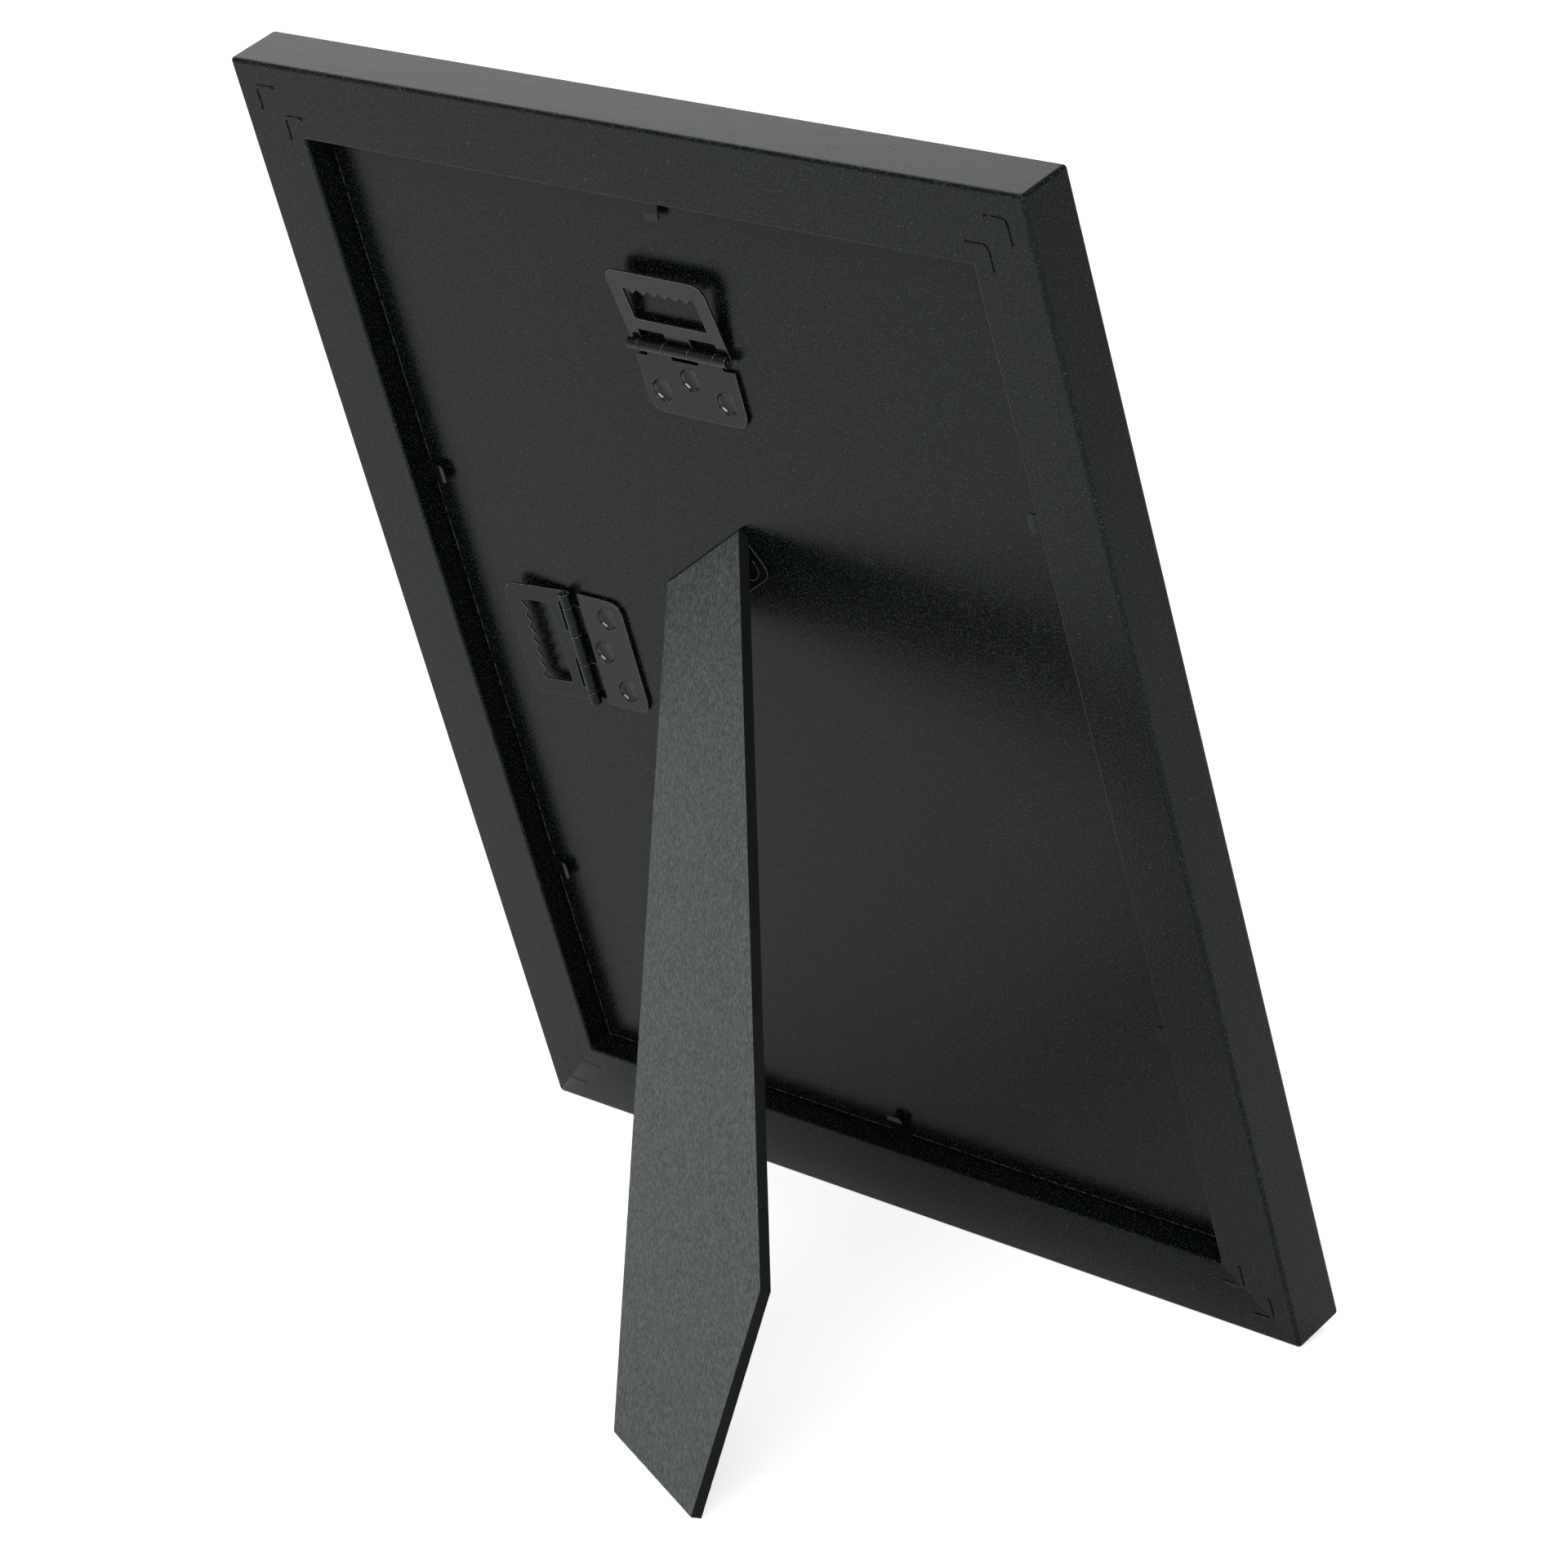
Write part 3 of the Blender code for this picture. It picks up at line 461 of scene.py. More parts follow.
def painted_wood(name, turn):
    """Satin black lacquer sprayed on wood. It closes the grain but lets its long streaks show
    faintly in the gloss, over a fine orange peel and a few specks of dust."""
    colours = sizes("frame_finishes")
    material, tree = new_material(name)
    # The peel and the streaks have their real size. The specks are drawn coarser than dust,
    # so that they show.
    peel = grains(tree, (0.55, 0.5, 0.5), turn, detail=3.0, roughness=0.65)
    streaks = grains(tree, (34.0, 0.9, 0.9), turn, detail=3.0, roughness=0.6, distortion=0.3)
    specks = add_node(tree, "MapRange", {"Value": grains(tree, (0.8, 0.8, 0.8), detail=1.0),
                                         "From Min": 0.74, "From Max": 0.80})
    thin = add_node(tree, "MapRange", {"Value": peel, "From Min": 0.54, "From Max": 0.72})
    face = add_node(tree, "Mix", {0: thin, 6: colours.paint, 7: colours.paint_light},
                    data_type="RGBA")
    dusty = add_node(tree, "Mix", {0: specks, 6: face, 7: colours.dust}, data_type="RGBA")
    rough = add_node(tree, "MapRange", {"Value": streaks, "To Min": 0.17, "To Max": 0.33})
    relief = add_node(tree, "Math", {0: streaks, 1: 0.3, 2: peel}, operation="MULTIPLY_ADD")
    return finished(material, dusty, relief, 0.06, {
        "Roughness": rough, "Specular IOR Level": 0.20, "Specular Tint": SOFT_BLACK_TINT})


def stained_hardboard():
    """Black hardboard, pressed smooth: short fibres lie every way, and the face has a dull
    gloss with pale specks."""
    colours = sizes("frame_finishes")
    material, tree = new_material("stained_hardboard")
    # Fibres near 0.1 mm thick are drawn at 0.4 mm, and dust at 0.6 mm, so that they show.
    fibre = grains(tree, (0.42, 0.5, 0.42), roughness=0.7, distortion=0.6)
    thin = add_node(tree, "MapRange", {"Value": fibre, "From Min": 0.56, "From Max": 0.74})
    specks = add_node(tree, "MapRange", {"Value": grains(tree, (0.6, 0.6, 0.6)),
                                         "From Min": 0.72, "From Max": 0.80})
    face = add_node(tree, "Mix", {0: thin, 6: colours.board, 7: colours.board_fibre},
                    data_type="RGBA")
    dusty = add_node(tree, "Mix", {0: specks, 6: face, 7: colours.dust}, data_type="RGBA")
    rough = add_node(tree, "MapRange", {"Value": fibre, "To Min": 0.12, "To Max": 0.23})
    return finished(material, dusty, fibre, 0.05, {
        "Roughness": rough, "Specular IOR Level": 0.18, "Specular Tint": SOFT_BLACK_TINT})


def rim_fibres_and_highlight():
    """The rim of the board's face, where the saw tore the fibres in tufts of 1 to 2 mm and the
    stain took badly: a broken pale line. It is partly pale fibre and partly a painted highlight,
    for the glint of the board's eased edge."""
    colours = sizes("frame_finishes")
    material, tree = new_material("hardboard_rim_fibres_and_highlight")
    tufts = grains(tree, (1.6, 1.6, 0.6), detail=3.0, roughness=0.7)
    # Where the rim is pale: partly torn fibres, partly a painted highlight.
    fibres_and_highlight_share = add_node(tree, "MapRange", {"Value": tufts, "From Min": 0.42, "From Max": 0.62})
    face = add_node(tree, "Mix", {0: fibres_and_highlight_share, 6: colours.board, 7: colours.rim_fibre_and_highlight_colour}, data_type="RGBA")
    return finished(material, face, fibres_and_highlight_share, 0.08, {"Roughness": 0.8, "Specular IOR Level": 0.2})


def strut_hardboard():
    """Black hardboard with its brushed face out: short fibres run along the strut and break
    the light into fine upright flecks."""
    colours = sizes("frame_finishes")
    sized = sizes("strut_sizes")
    material, tree = new_material("brushed_hardboard")
    # These fibres too are drawn thicker than they are, so that they show.
    along = {"turn": sized.slant, "tilt": -sized.open}
    fibre = grains(tree, (0.32, 0.9, 0.32), roughness=0.65, distortion=0.4, **along)
    broken = grains(tree, (0.34, 0.9, 0.34), roughness=0.6, **along)
    fleck = add_node(tree, "MapRange", {"Value": broken, "From Min": 0.42, "From Max": 0.62})
    face = add_node(tree, "Mix", {0: fleck, 6: colours.strut, 7: colours.strut_fibre},
                    data_type="RGBA")
    rough = add_node(tree, "MapRange", {"Value": fibre, "To Min": 0.30, "To Max": 0.50})
    return finished(material, face, fibre, 0.06, {
        "Roughness": rough, "Specular IOR Level": 0.46, "Specular Tint": SOFT_BLACK_TINT})


def sawn_edge():
    """The hardboard's sawn edge, soaked in stain: open fibres in layers of 0.3 mm, dull."""
    colours = sizes("frame_finishes")
    sized = sizes("strut_sizes")
    material, tree = new_material("sawn_hardboard_edge")
    layers = grains(tree, (2.4, 2.4, 0.3), sized.slant, -sized.open, detail=3.0, roughness=0.7)
    split = add_node(tree, "MapRange", {"Value": layers, "From Min": 0.5, "From Max": 0.8})
    face = add_node(tree, "Mix", {0: split, 6: colours.cut, 7: colours.strut}, data_type="RGBA")
    return finished(material, face, layers, 0.08, {"Roughness": 0.75, "Specular IOR Level": 0.2})


def coated_steel():
    """Stamped mild steel, blacked and oiled. The coat is thin and even, glossier than the
    wood, with fine rubbed spots on the high places."""
    colours = sizes("frame_finishes")
    material, tree = new_material("blacked_steel")
    # The rolled sheet's grain is near 0.1 mm, and is drawn at 0.7 to 1 mm, so that it shows.
    mottle = grains(tree, (0.7, 0.7, 0.7), detail=3.0, roughness=0.6)
    spots = grains(tree, (1.0, 1.0, 1.0), detail=4.0, roughness=0.7)
    rubbed = add_node(tree, "MapRange", {"Value": spots, "From Min": 0.50, "From Max": 0.78})
    face = add_node(tree, "Mix", {0: rubbed, 6: colours.steel, 7: colours.steel_worn},
                    data_type="RGBA")
    rough = add_node(tree, "MapRange", {"Value": mottle, "From Min": 0.2, "From Max": 0.8,
                                        "To Min": 0.11, "To Max": 0.22})
    return finished(material, face, mottle, 0.012, {
        "Roughness": rough, "Specular IOR Level": 0.31, "Specular Tint": SOFT_BLACK_TINT})


def burnished(name, wear_and_highlight_colour):
    """Blacked steel that a stamp or a rivet press has burnished: the black coat is rubbed to
    another colour in places, and an oily gloss over it glints where it faces a lamp. On the
    stamped edges that paler colour is partly a painted highlight for their glint."""
    material, tree = new_material(name)
    # The rubbed places are as coarse as the sheet's grain is drawn.
    spots = grains(tree, (0.6, 0.6, 0.6), detail=3.0, roughness=0.7)
    rubbed = add_node(tree, "MapRange", {"Value": spots, "From Min": 0.30, "From Max": 0.60})
    # On the stamped edges, this paler colour is partly a painted highlight.
    face = add_node(tree, "Mix", {0: rubbed, 6: sizes("frame_finishes").steel, 7: wear_and_highlight_colour},
                    data_type="RGBA")
    return finished(material, face, rubbed, 0.002, {
        "Roughness": 0.16, "Specular IOR Level": 0.2, "Coat Weight": 1.0,
        "Coat Roughness": 0.10})


def picture_glass():
    """Float glass, 1.8 mm thick: clear, with the faint green of its iron, and flat but for a
    shallow wave every 60 to 90 mm."""
    material, tree = new_material("float_glass")
    return finished(material, sizes("frame_finishes").glass, grains(tree, (60.0, 90.0, 60.0)),
                    0.002, {"Roughness": 0.0, "IOR": 1.52, "Transmission Weight": 1.0})


def blank_paper():
    """Uncoated white paper: matt, with a soft tooth, drawn at 0.3 mm so that it shows."""
    colours = sizes("frame_finishes")
    material, tree = new_material("uncoated_paper")
    tooth = grains(tree, (0.3, 0.3, 0.3), detail=3.0, roughness=0.6)
    shade = [part * 0.96 for part in colours.paper]
    face = add_node(tree, "Mix", {0: tooth, 6: shade, 7: colours.paper}, data_type="RGBA")
    return finished(material, face, tooth, 0.02, {"Roughness": 0.9})


def shared(name, make, *values):
    """A material that several buttons use, made once."""
    return bpy.data.materials.get(name) or make(*values)


def sheet_steel():
    """The finish of a stamped piece's faces and that of its edges. The edges' pale colour is
    partly the rubbed coat and partly a painted highlight for their glint.
    """
    wear_and_highlight_colour = sizes("frame_finishes").edge
    return [shared("blacked_steel", coated_steel),
            shared("blacked_steel_edge_painted_highlight", burnished, "blacked_steel_edge_painted_highlight", wear_and_highlight_colour)]


def rivet_steel():
    """The finish of a rivet's flat faces and that of its pressed rim."""
    wear_and_highlight_colour = sizes("frame_finishes").steel_worn
    return [shared("blacked_steel", coated_steel),
            shared("blacked_steel_rim", burnished, "blacked_steel_rim", wear_and_highlight_colour)]


def ring_shape(sized):
    """The whole frame before it is cut into rails: its rebate, its lip and its eased edges."""
    shape = block((wide(sized), tall(sized), sized.rail_deep),
                  (0, tall(sized) / 2, -sized.rail_deep / 2))
    outer = shape.edges[:]
    back = max(shape.faces, key=face_height)
    front = min(shape.faces, key=face_height)
    inset(shape, back, sized.rail_wide)
    floor = bmesh.ops.extrude_discrete_faces(shape, faces=[back])["faces"][0]
    bmesh.ops.translate(shape, verts=floor.verts, vec=(0, 0, sized.lip_thick - sized.rail_deep))
    walls = [edge for edge in shape.edges if edge.is_valid and is_upright(edge)
             and edge not in outer]
    inset(shape, floor, sized.lip_wide)
    inset(shape, front, sized.rail_wide + sized.lip_wide)
    lip = list(front.edges)
    sight = list(floor.edges) + lip
    bmesh.ops.delete(shape, geom=[floor, front], context="FACES_ONLY")
    bmesh.ops.bridge_loops(shape, edges=sight)
    mouth = [edge for edge in shape.edges if is_on_back(edge) and edge not in outer
             and edge.calc_face_angle(0) > 1]
    bevel(shape, outer + lip, sized.outer_ease, 4)
    bevel(shape, mouth + walls, sized.mouth_ease, 4)
    bmesh.ops.recalc_face_normals(shape, faces=shape.faces)
    return shape


def nail_shape(sized, place, proud):
    """A V-nail, bent from strip, with hooked ends and rounded bends."""
    end = place + sized.nail_leg
    hook = sized.nail_hook
    path = [(end - hook / 2, place - hook), (end, place), (place, place), (place, end),
            (place - hook, end - hook / 2)]
    shape = strip([(x, y, proud) for x, y in path], (0, 0, -sized.nail_tall - proud))
    bends = [edge for edge in shape.edges if is_upright(edge) and len(edge.link_faces) == 2]
    bevel(shape, bends, sized.nail_thick, 3)
    bmesh.ops.recalc_face_normals(shape, faces=shape.faces)
    bmesh.ops.solidify(shape, geom=shape.faces, thickness=sized.nail_thick)
    return shape


class DressWood(bpy.types.Operator):
    """Make the four painted rails and the V-nails that show under the paint"""
    bl_idname = "photo_frame.dress_wood"
    bl_label = "Rails and V-nails"

    def execute(self, context):
        sized = sizes("frame_sizes")
        half_wide, half_tall = wide(sized) / 2, tall(sized) / 2
        middle = Vector((0, half_tall, 0))
        upright = painted_wood("satin_lacquer_upright", QUARTER)
        across = painted_wood("satin_lacquer_across", 0.0)
        sides = (("bottom", half_wide, half_tall, across), ("right", half_tall, half_wide, upright),
                 ("top", half_wide, half_tall, across), ("left", half_tall, half_wide, upright))
        whole = ring_shape(sized)
        for quarters, (side, half, reach, paint) in enumerate(sides):
            turn = Matrix.Rotation(quarters * QUARTER, 4, "Z")
            rail = whole.copy()
            for end in (1, -1):
                corner = turn @ Vector((end * half, -reach, 0)) + middle
                keep_side(rail, corner, turn @ Vector((end, 1, 0)))
            name = "rail_" + side
            piece = place_piece("painted_" + name, rail, on_frame(), "frame", [name],
                                [paint])
            even = piece.modifiers.new("even shading", "WEIGHTED_NORMAL")
            even.keep_sharp = True
        whole.free()
        corners = (("left_bottom", -1, 0), ("bottom_right", 1, 0), ("right_top", 1, 2),
                   ("top_left", -1, 2))
        for quarters, (corner, x, y) in enumerate(corners):
            where = on_frame(x * half_wide, y * half_tall, 0, quarters * QUARTER)
            proud = sized.nail_filled if corner == "left_bottom" else sized.nail_proud
            for rank, place in (("inner", sized.nail_inner), ("outer", sized.nail_outer)):
                name = f"v_nail_{corner}_{rank}"
                place_piece("painted_" + name, nail_shape(sized, place, proud), where, "frame",
                            [name], [across], sized.nail_thick * 0.4, 3)
        return {"FINISHED"}


class DressBack(bpy.types.Operator):
    """Finish the glass and the paper, and make the back board with its eased edges"""
    bl_idname = "photo_frame.dress_back"
    bl_label = "Glass, paper and back board"

    def execute(self, context):
        sized = sizes("frame_sizes")
        dress("glass", picture_glass())
        dress("picture_sheet", blank_paper())
        shape = block((sized.opening_wide - 2 * sized.board_play,
                       sized.opening_tall - 2 * sized.board_play, sized.board_thick))
        # The rim and the eased edges are painted pale: partly fibre, partly a painted highlight for
        # their glint.
        for face in inset(shape, max(shape.faces, key=face_height), sized.rim_fibres_and_highlight):
            face.material_index = 1
        place = on_frame(0, tall(sized) / 2, -sized.board_back - sized.board_thick / 2)
        place_piece("hardboard_back", shape, place, "frame", ["back_board"],
                    [stained_hardboard(), rim_fibres_and_highlight()], sized.gap, 3)
        return {"FINISHED"}


def tab_shape(sized):
    """A tab bent from strip: flat at the wall, then up to its lifted, rounded tip."""
    start = sized.gap - sized.tab_pivot
    tip = sized.tab_long - sized.tab_pivot
    flat, ramp = (start + (tip - start) * share for share in TAB_BENDS)
    half = sized.tab_wide / 2
    path = [(start, 0), (flat, 0), (ramp, sized.tab_rise), (tip, sized.tab_rise)]
    shape = strip([(-half, along, up) for along, up in path], (sized.tab_wide, 0, 0))
    tips = [point for point in shape.verts if point.co.y > tip - sized.gap]
    bevel(shape, tips, half / 2, 5, "VERTICES")
    bends = [edge for edge in shape.edges if len(edge.link_faces) == 2]
    bevel(shape, bends, sized.tab_rise / 2, 4)
    bmesh.ops.recalc_face_normals(shape, faces=shape.faces)
    bmesh.ops.solidify(shape, geom=shape.faces, thickness=sized.tab_thick)
    heights = [point.co.z for point in shape.verts]
    middle = (max(heights) + min(heights) - sized.tab_rise) / 2
    bmesh.ops.translate(shape, verts=shape.verts, vec=(0, 0, -middle))
    return shape


class DressTabs(bpy.types.Operator):
    """Make the six bent tabs that hold the back board in"""
    bl_idname = "photo_frame.dress_tabs"
    bl_label = "Retaining tabs"

    def execute(self, context):
        sized = sizes("frame_sizes")
        steel = sheet_steel()
        quarters = {"bottom": 0, "right_lower": 1, "right_upper": 1, "top": 2,
                    "left_upper": 3, "left_lower": 3}
        for place, turns in quarters.items():
            where = at_joint(place + "_tab_bend", turns * QUARTER)
            place_piece("bent_tab_" + place, tab_shape(sized), where, place + "_tab",
                        ["tab_" + place], steel, sized.tab_thick / 3)
            dress("tab_root_" + place, steel[0])
        return {"FINISHED"}


def tongues(shares, width, mine, gap):
    """The two ends, along the pin, of each knuckle that a leaf has."""
    ends = []
    for index in mine:
        low = (shares[index] - 0.5) * width + (gap / 2 if index else 0)
        high = (shares[index + 1] - 0.5) * width - (gap / 2 if index + 2 < len(shares) else 0)
        ends.append((low, high))
    return ends


def leaf_shape(outline, rounding, knuckles, slot, side, window=None, rivets=()):
    """A stamped leaf about its pin. side is 1 where its plate lies on +Y of the pin.

    outline is the plate's, listed from the slot's end at +X round to the one at -X. Tongues
    leave the slot and curl round the pin, from under it. Each rivet has a hole for its cup.
    """
    hinge = sizes("hanger_sizes")
    near = side * slot
    points = list(outline)
    for low, high in knuckles:
        points += [(low, near), (low, 0), (high, 0), (high, near)]
    kept = [point for index, point in enumerate(points) if point != points[index - 1]]
    numbers = {kept.index(outline[number]): radius for number, radius in rounding.items()}
    shape = bmesh.new()
    flat_face(shape, kept, numbers)
    if window:
        flat_face(shape, *window)
    hole = hinge.rivet_radius - hinge.lip_wide / 2
    for place in rivets:
        bmesh.ops.create_circle(shape, segments=40, radius=hole,
                                matrix=Matrix.Translation((*place, 0)))
    if window or rivets:
        bmesh.ops.delete(shape, geom=shape.faces[:], context="FACES_ONLY")
        bmesh.ops.triangle_fill(shape, use_beauty=True, edges=shape.edges[:])
    raise_faces(shape, -hinge.barrel, hinge.sheet - hinge.barrel)
    ends = [face for face in shape.faces
            if all(abs(point.co.y) < TOUCHING for point in face.verts)]
    for face in ends:
        geometry = [face] + list(face.edges) + list(face.verts)
        bmesh.ops.spin(shape, geom=geometry, cent=(0, 0, 0), axis=(1, 0, 0),
                       angle=-side * CURL, steps=30)
    return shape


def hanger_rivets(hinge):
    """The places of a hanger's three rivets."""
    side = hinge.width / 2 - hinge.rivet_margin
    return [(-side, -hinge.rivet_far), (0, -hinge.rivet_near), (side, -hinge.rivet_far)]


def fixed_leaf(hinge, gap):
    """The riveted leaf of a hanger."""
    half = hinge.width / 2
    outline = [(half, -hinge.fixed_slot), (half, -hinge.fixed_long), (-half, -hinge.fixed_long),
               (-half, -hinge.fixed_slot)]
    knuckles = tongues(HANGER_SHARES, hinge.width, (1, 3), gap)
    return leaf_shape(outline, {1: hinge.corner, 2: hinge.corner}, knuckles, hinge.fixed_slot,
                      -1, rivets=hanger_rivets(hinge))


def saw_leaf(hinge, gap):
    """The leaf with the window and its saw teeth."""
    half = hinge.width / 2
    outline = [(half, hinge.saw_slot), (half, hinge.saw_long), (-half, hinge.saw_long),
               (-half, hinge.saw_slot)]
    inner = half - hinge.window_margin
    pitch = 2 * inner * hinge.teeth_share / hinge.teeth
    start = pitch * hinge.teeth / 2
    root, tip = hinge.window_far, hinge.window_far - hinge.tooth_deep
    window = [(-inner, hinge.window_near), (inner, hinge.window_near), (inner, root)]
    for index in range(hinge.teeth):
        window += [(start - index * pitch, root), (start - (index + 0.5) * pitch, tip)]
    window += [(-start, root), (-inner, root)]
    rounding = {2: hinge.window_corner, len(window) - 1: hinge.window_corner}
    knuckles = tongues(HANGER_SHARES, hinge.width, (0, 2, 4), gap)
    return leaf_shape(outline, {1: hinge.corner, 2: hinge.corner}, knuckles, hinge.saw_slot, 1,
                      (window, rounding))


def pin_shape(hinge, width):
    """A hinge's pin along X, with its ends eased."""
    long = width / 2 + hinge.pin_proud
    ease = hinge.pin / 3
    shape = turned([(0, -long), (hinge.pin - ease, -long), (hinge.pin, ease - long),
                    (hinge.pin, long - ease), (hinge.pin - ease, long), (0, long)], 24)
    bmesh.ops.rotate(shape, verts=shape.verts, cent=(0, 0, 0),
                     matrix=Matrix.Rotation(QUARTER, 3, "Y"))
    return shape


def rivet_shape(hinge, place, board):
    """A rivet pressed into a leaf and the board: a cup with a flat floor, a wall that gets
    steeper towards its rim, and a rolled lip."""
    low = hinge.sheet - hinge.barrel
    floor = low - hinge.cup_deep
    inner = hinge.rivet_radius - hinge.lip_wide
    outer = inner + hinge.cup_wall
    bend = hinge.cup_deep / 8
    profile = [(0, floor), (inner - hinge.cup_slope - bend, floor)]
    for share in WALL_SHARES:
        narrower = hinge.cup_slope * (1 - share) ** hinge.cup_hollow
        profile.append((inner - narrower, floor + hinge.cup_deep * share))
    profile.append((inner, low))
    steps = 6
    for step in range(1, steps + 1):
        turn = math.pi * step / steps
        profile.append((inner + hinge.lip_wide / 2 * (1 - math.cos(turn)),
                        low + hinge.lip_tall * max(math.sin(turn), 0.0)))
    shank = hinge.rivet_radius / 2
    under = floor - hinge.cup_wall / 3
    profile += [(outer, low), (outer, under), (shank, under), (shank, low - board),
                (0, low - board)]
    shape = turned(profile, 48, place)
    for face in shape.faces:
        face.material_index = int(abs(face.normal.z) < NEARLY)
    return shape


class DressHangers(bpy.types.Operator):
    """Make both saw-tooth hangers: two leaves, a pin and three rivets each"""
    bl_idname = "photo_frame.dress_hangers"
    bl_label = "Saw-tooth hangers"

    def execute(self, context):
        hinge = sizes("hanger_sizes")
        sized = sizes("frame_sizes")
        steel = sheet_steel()
        for place, turn, swing in (("top", 0.0, hinge.top_swing),
                                   ("left", QUARTER, hinge.left_swing)):
            name = "hanger_" + place
            joint = place + "_hanger_swing"
            flat = at_joint(joint, turn)
            place_piece("stamped_" + name + "_fixed_leaf", fixed_leaf(hinge, sized.gap), flat,
                        "frame", [name + "_fixed_leaf"], steel, hinge.edge)
            place_piece("stamped_" + name + "_saw_leaf", saw_leaf(hinge, sized.gap),
                        at_joint(joint, turn, swing), place + "_saw_leaf",
                        [name + "_saw_leaf"], steel, hinge.edge)
            place_piece("round_" + name + "_pin", pin_shape(hinge, hinge.width), flat, "frame",
                        [name + "_pin"], steel[:1])
            for number, where in enumerate(hanger_rivets(hinge), start=1):
                rivet = f"{name}_rivet_{number}"
                place_piece("rolled_" + rivet, rivet_shape(hinge, where, sized.board_thick),
                            flat, "frame", [rivet], rivet_steel())
        return {"FINISHED"}


def strut_shape(sized):
    """A copy of the CAD strut with a bevelled top edge. Its sawn outline wanders a little, and
    is drawn in by as much first, so that it stays inside the solid."""
    shape = bmesh.new()
    shape.from_mesh(frame["nodes"]["easel_strut"].data)
    back_to_hinge = at_joint("strut_fold", sized.slant, -sized.open).inverted()
    bmesh.ops.transform(shape, matrix=back_to_hinge, verts=shape.verts)
    bmesh.ops.remove_doubles(shape, verts=shape.verts, dist=TOUCHING)
    bmesh.ops.dissolve_limit(shape, angle_limit=math.radians(1), verts=shape.verts,
                             edges=shape.edges)
    back = max(shape.faces, key=face_height)
    top = max(point.co.y for point in back.verts)
    keep_side(shape, (0, top - sized.heel_bevel, face_height(back)),
              (0, math.sin(sized.heel_angle), math.cos(sized.heel_angle)))
    for edge in sorted(shape.edges, key=lambda item: -item.calc_length()):
        if edge.calc_length() > sized.cut_least and edge.calc_face_angle(0) > 0.5:
            cuts = int(edge.calc_length() / sized.cut_step)
            bmesh.ops.subdivide_edges(shape, edges=[edge], cuts=cuts)
    reach = max(point.co.length for point in shape.verts)
    inward = 1 - 2 * sized.cut_wave / reach
    bmesh.ops.scale(shape, verts=shape.verts, vec=(inward, inward, 1))
    noise.seed_set(sized.cut_seed)
    for point in shape.verts:
        drift = noise.noise_vector(point.co / sized.cut_step) * sized.cut_wave
        point.co.x += drift.x
        point.co.y += drift.y
    for face in shape.faces:
        face.material_index = int(abs(face.normal.z) < NEARLY)
    return shape


class DressStrut(bpy.types.Operator):
    """Make the strut from its CAD solid, with sawn edges that are slightly uneven"""
    bl_idname = "photo_frame.dress_strut"
    bl_label = "Strut"

    def execute(self, context):
        sized = sizes("strut_sizes")
        where = at_joint("strut_fold", sized.slant, -sized.open)
        place_piece("sawn_strut", strut_shape(sized), where, "strut", ["easel_strut"],
                    [strut_hardboard(), sawn_edge()])
        return {"FINISHED"}


def board_leaf(sized, gap):
    """The leaf on the board, with a notch for its narrow barrel."""
    half = sized.board_leaf_wide / 2
    notch = sized.barrel_wide / 2 + gap
    outline = [(notch, -sized.slot), (notch, sized.board_leaf_above),
               (half, sized.board_leaf_above), (half, -sized.board_leaf_below),
               (-half, -sized.board_leaf_below), (-half, sized.board_leaf_above),
               (-notch, sized.board_leaf_above), (-notch, -sized.slot)]
    knuckles = tongues(EASEL_SHARES, sized.barrel_wide, (0, 2), gap)
    rivets = [(side * sized.rivet_side, -sized.rivet_below) for side in (-1, 1)]
    return leaf_shape(outline, {3: sized.leaf_corner, 4: sized.leaf_corner}, knuckles,
                      sized.slot, -1, rivets=rivets)


def strut_leaf(sized, gap):
    """The leaf under the strut. It is made like the others and then turned over its pin."""
    half = sized.strut_leaf_wide / 2
    outline = [(half, -sized.slot), (half, -sized.strut_leaf_long),
               (-half, -sized.strut_leaf_long), (-half, -sized.slot)]
    knuckles = tongues(EASEL_SHARES, sized.barrel_wide, (1,), gap)
    shape = leaf_shape(outline, {1: sized.leaf_corner, 2: sized.leaf_corner}, knuckles,
                       sized.slot, -1)
    bmesh.ops.scale(shape, verts=shape.verts, vec=(1, 1, -1))
    return shape


def blind_rivet(hinge, sized, place, thick):
    """A flat-headed rivet that ends inside the strut."""
    under = hinge.barrel - hinge.sheet
    head = under - sized.blind_head
    shank = sized.blind_radius / 2
    return turned([(0, under + thick), (shank, under + thick), (shank, under),
                   (sized.blind_radius, under), (sized.blind_radius, head + sized.blind_head / 2),
                   (sized.blind_radius - sized.blind_head / 2, head), (0, head)], 32, place)


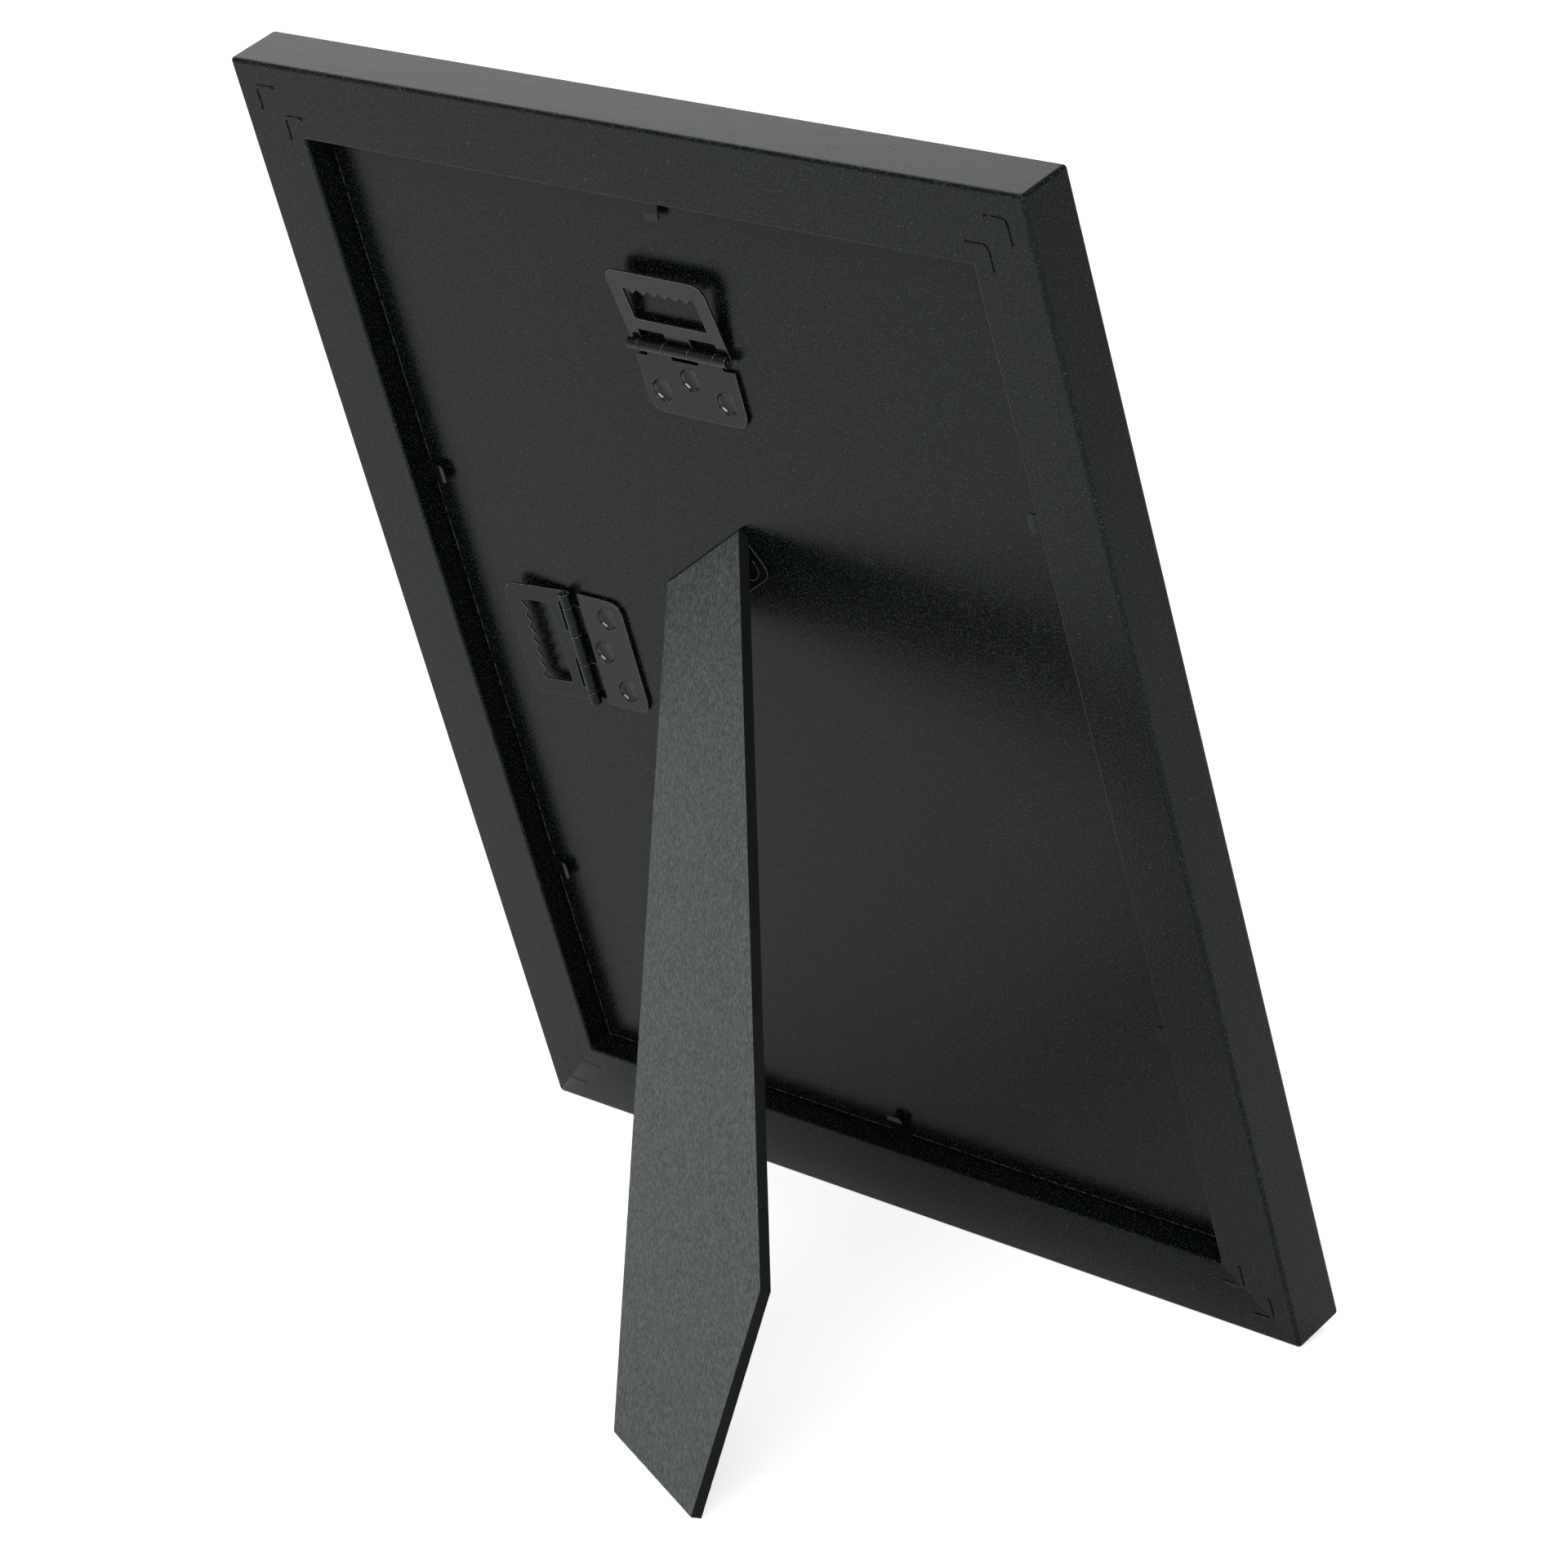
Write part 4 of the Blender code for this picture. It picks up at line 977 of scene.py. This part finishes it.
class DressStrutHinge(bpy.types.Operator):
    """Make the strut's hinge: a leaf on the board, one under the strut, a pin and rivets"""
    bl_idname = "photo_frame.dress_strut_hinge"
    bl_label = "Strut hinge"

    def execute(self, context):
        hinge = sizes("hanger_sizes")
        sized = sizes("strut_sizes")
        wood = sizes("frame_sizes")
        steel = sheet_steel()
        flat = at_joint("strut_fold", sized.slant)
        swung = at_joint("strut_fold", sized.slant, -sized.open)
        place_piece("stamped_board_leaf", board_leaf(sized, wood.gap), flat, "frame",
                    ["easel_board_leaf"], steel, hinge.edge)
        place_piece("stamped_strut_leaf", strut_leaf(sized, wood.gap), swung, "strut",
                    ["easel_strut_leaf"], steel, hinge.edge)
        place_piece("round_easel_pin", pin_shape(hinge, sized.barrel_wide), flat, "frame",
                    ["easel_pin"], steel[:1])
        for number, side in enumerate((-1, 1), start=1):
            place = (side * sized.rivet_side, -sized.rivet_below)
            place_piece(f"rolled_easel_board_rivet_{number}",
                        rivet_shape(hinge, place, wood.board_thick), flat, "frame",
                        [f"easel_board_rivet_{number}"], rivet_steel())
            place = (side * sized.blind_side, -sized.blind_below)
            place_piece(f"blind_easel_strut_rivet_{number}",
                        blind_rivet(hinge, sized, place, wood.board_thick / 2), swung, "strut",
                        [f"easel_strut_rivet_{number}"], steel[:1])
        return {"FINISHED"}


def by_ray(tree, seen, mirrored, lighting):
    """A strength for rays that see the background, see it in a gloss, or carry its light."""
    rays = add_node(tree, "LightPath").outputs
    either = add_node(tree, "Math", {0: rays["Is Camera Ray"], 1: rays["Is Transmission Ray"]},
                      operation="MAXIMUM")
    lit = add_node(tree, "MapRange", {"Value": rays["Is Glossy Ray"], "To Min": lighting,
                                      "To Max": mirrored})
    return add_node(tree, "MapRange", {"Value": either, "To Min": lit, "To Max": seen})


def studio_floor(stage):
    """Seamless pale paper. It takes soft shadows, and reads as white where none falls."""
    material, tree = new_material("seamless_paper_floor")
    matt = add_node(tree, "BsdfDiffuse", {"Color": stage.floor_colour})
    own_light = by_ray(tree, stage.floor_seen, stage.floor_mirrored, 0.0)
    glow = add_node(tree, "Emission", {"Strength": own_light})
    both = add_node(tree, "AddShader", {0: matt, 1: glow})
    add_node(tree, "OutputMaterial", {"Surface": both})
    return material


def softbox(name, place, long_side, short_side, tilt, power):
    """A lamp that faces the object, with its long side tilted from level."""
    lamp = bpy.data.lights.new(name, "AREA")
    lamp.energy = power
    lamp.shape = "RECTANGLE"
    lamp.size = long_side
    lamp.size_y = short_side
    box = bpy.data.objects.new(name, lamp)
    bpy.context.scene.collection.objects.link(box)
    box.location = place
    facing = Vector(place).to_track_quat("Z", "Y").to_matrix()
    box.rotation_euler = (facing @ Matrix.Rotation(tilt, 3, "Z")).to_euler()


class SetStage(bpy.types.Operator):
    """Set the pale floor, the soft light and the camera"""
    bl_idname = "photo_frame.set_stage"
    bl_label = "Stage"

    def execute(self, context):
        stage = sizes("frame_stage")
        shape = bmesh.new()
        bmesh.ops.create_grid(shape, x_segments=1, y_segments=1, size=stage.floor_size / 2)
        mesh = bpy.data.meshes.new("floor")
        shape.to_mesh(mesh)
        shape.free()
        mesh.materials.append(studio_floor(stage))
        floor = bpy.data.objects.new("floor", mesh)
        context.scene.collection.objects.link(floor)

        world = bpy.data.worlds.new("soft light")
        context.scene.world = world
        world.use_nodes = True
        tree = world.node_tree
        tree.nodes.clear()
        level = by_ray(tree, 1.0, stage.world_mirrored, stage.world)
        sky = add_node(tree, "Background", {"Color": (1, 1, 1), "Strength": level})
        add_node(tree, "OutputWorld", {"Surface": sky})
        softbox("far softbox", stage.far_place, stage.far_size, stage.far_size, 0.0,
                stage.far_power)
        softbox("near softbox", stage.near_place, stage.near_wide, stage.near_tall,
                stage.near_tilt, stage.near_power)

        lens = bpy.data.cameras.new("camera")
        lens.lens = stage.lens
        lens.sensor_width = 36.0
        lens.clip_start = 0.05
        camera = bpy.data.objects.new("camera", lens)
        context.scene.collection.objects.link(camera)
        camera.location = stage.place
        camera.rotation_euler = stage.turn
        context.scene.camera = camera
        context.scene.view_settings.view_transform = "Standard"
        return {"FINISHED"}


OPERATORS = (DressWood, DressBack, DressTabs, DressHangers, DressStrut, DressStrutHinge, SetStage)


class PhotoFramePanel(bpy.types.Panel):
    """Lists the buttons that dress the photo frame"""
    bl_idname = "VIEW3D_PT_photo_frame"
    bl_label = "Photo frame"
    bl_space_type = "VIEW_3D"
    bl_region_type = "UI"
    bl_category = "Photo frame"

    def draw(self, context):
        for operator in OPERATORS:
            self.layout.operator(operator.bl_idname)


CLASSES = (*GROUPS.values(), *OPERATORS, PhotoFramePanel)


def register():
    for item in CLASSES:
        bpy.utils.register_class(item)
    for name, group in GROUPS.items():
        setattr(bpy.types.Scene, name, PointerProperty(type=group))


def unregister():
    for name in GROUPS:
        delattr(bpy.types.Scene, name)
    for item in reversed(CLASSES):
        bpy.utils.unregister_class(item)


def main():
    register()
    for operator in OPERATORS:
        group, name = operator.bl_idname.split(".")
        getattr(getattr(bpy.ops, group), name)()


if __name__ == "__main__":
    main()
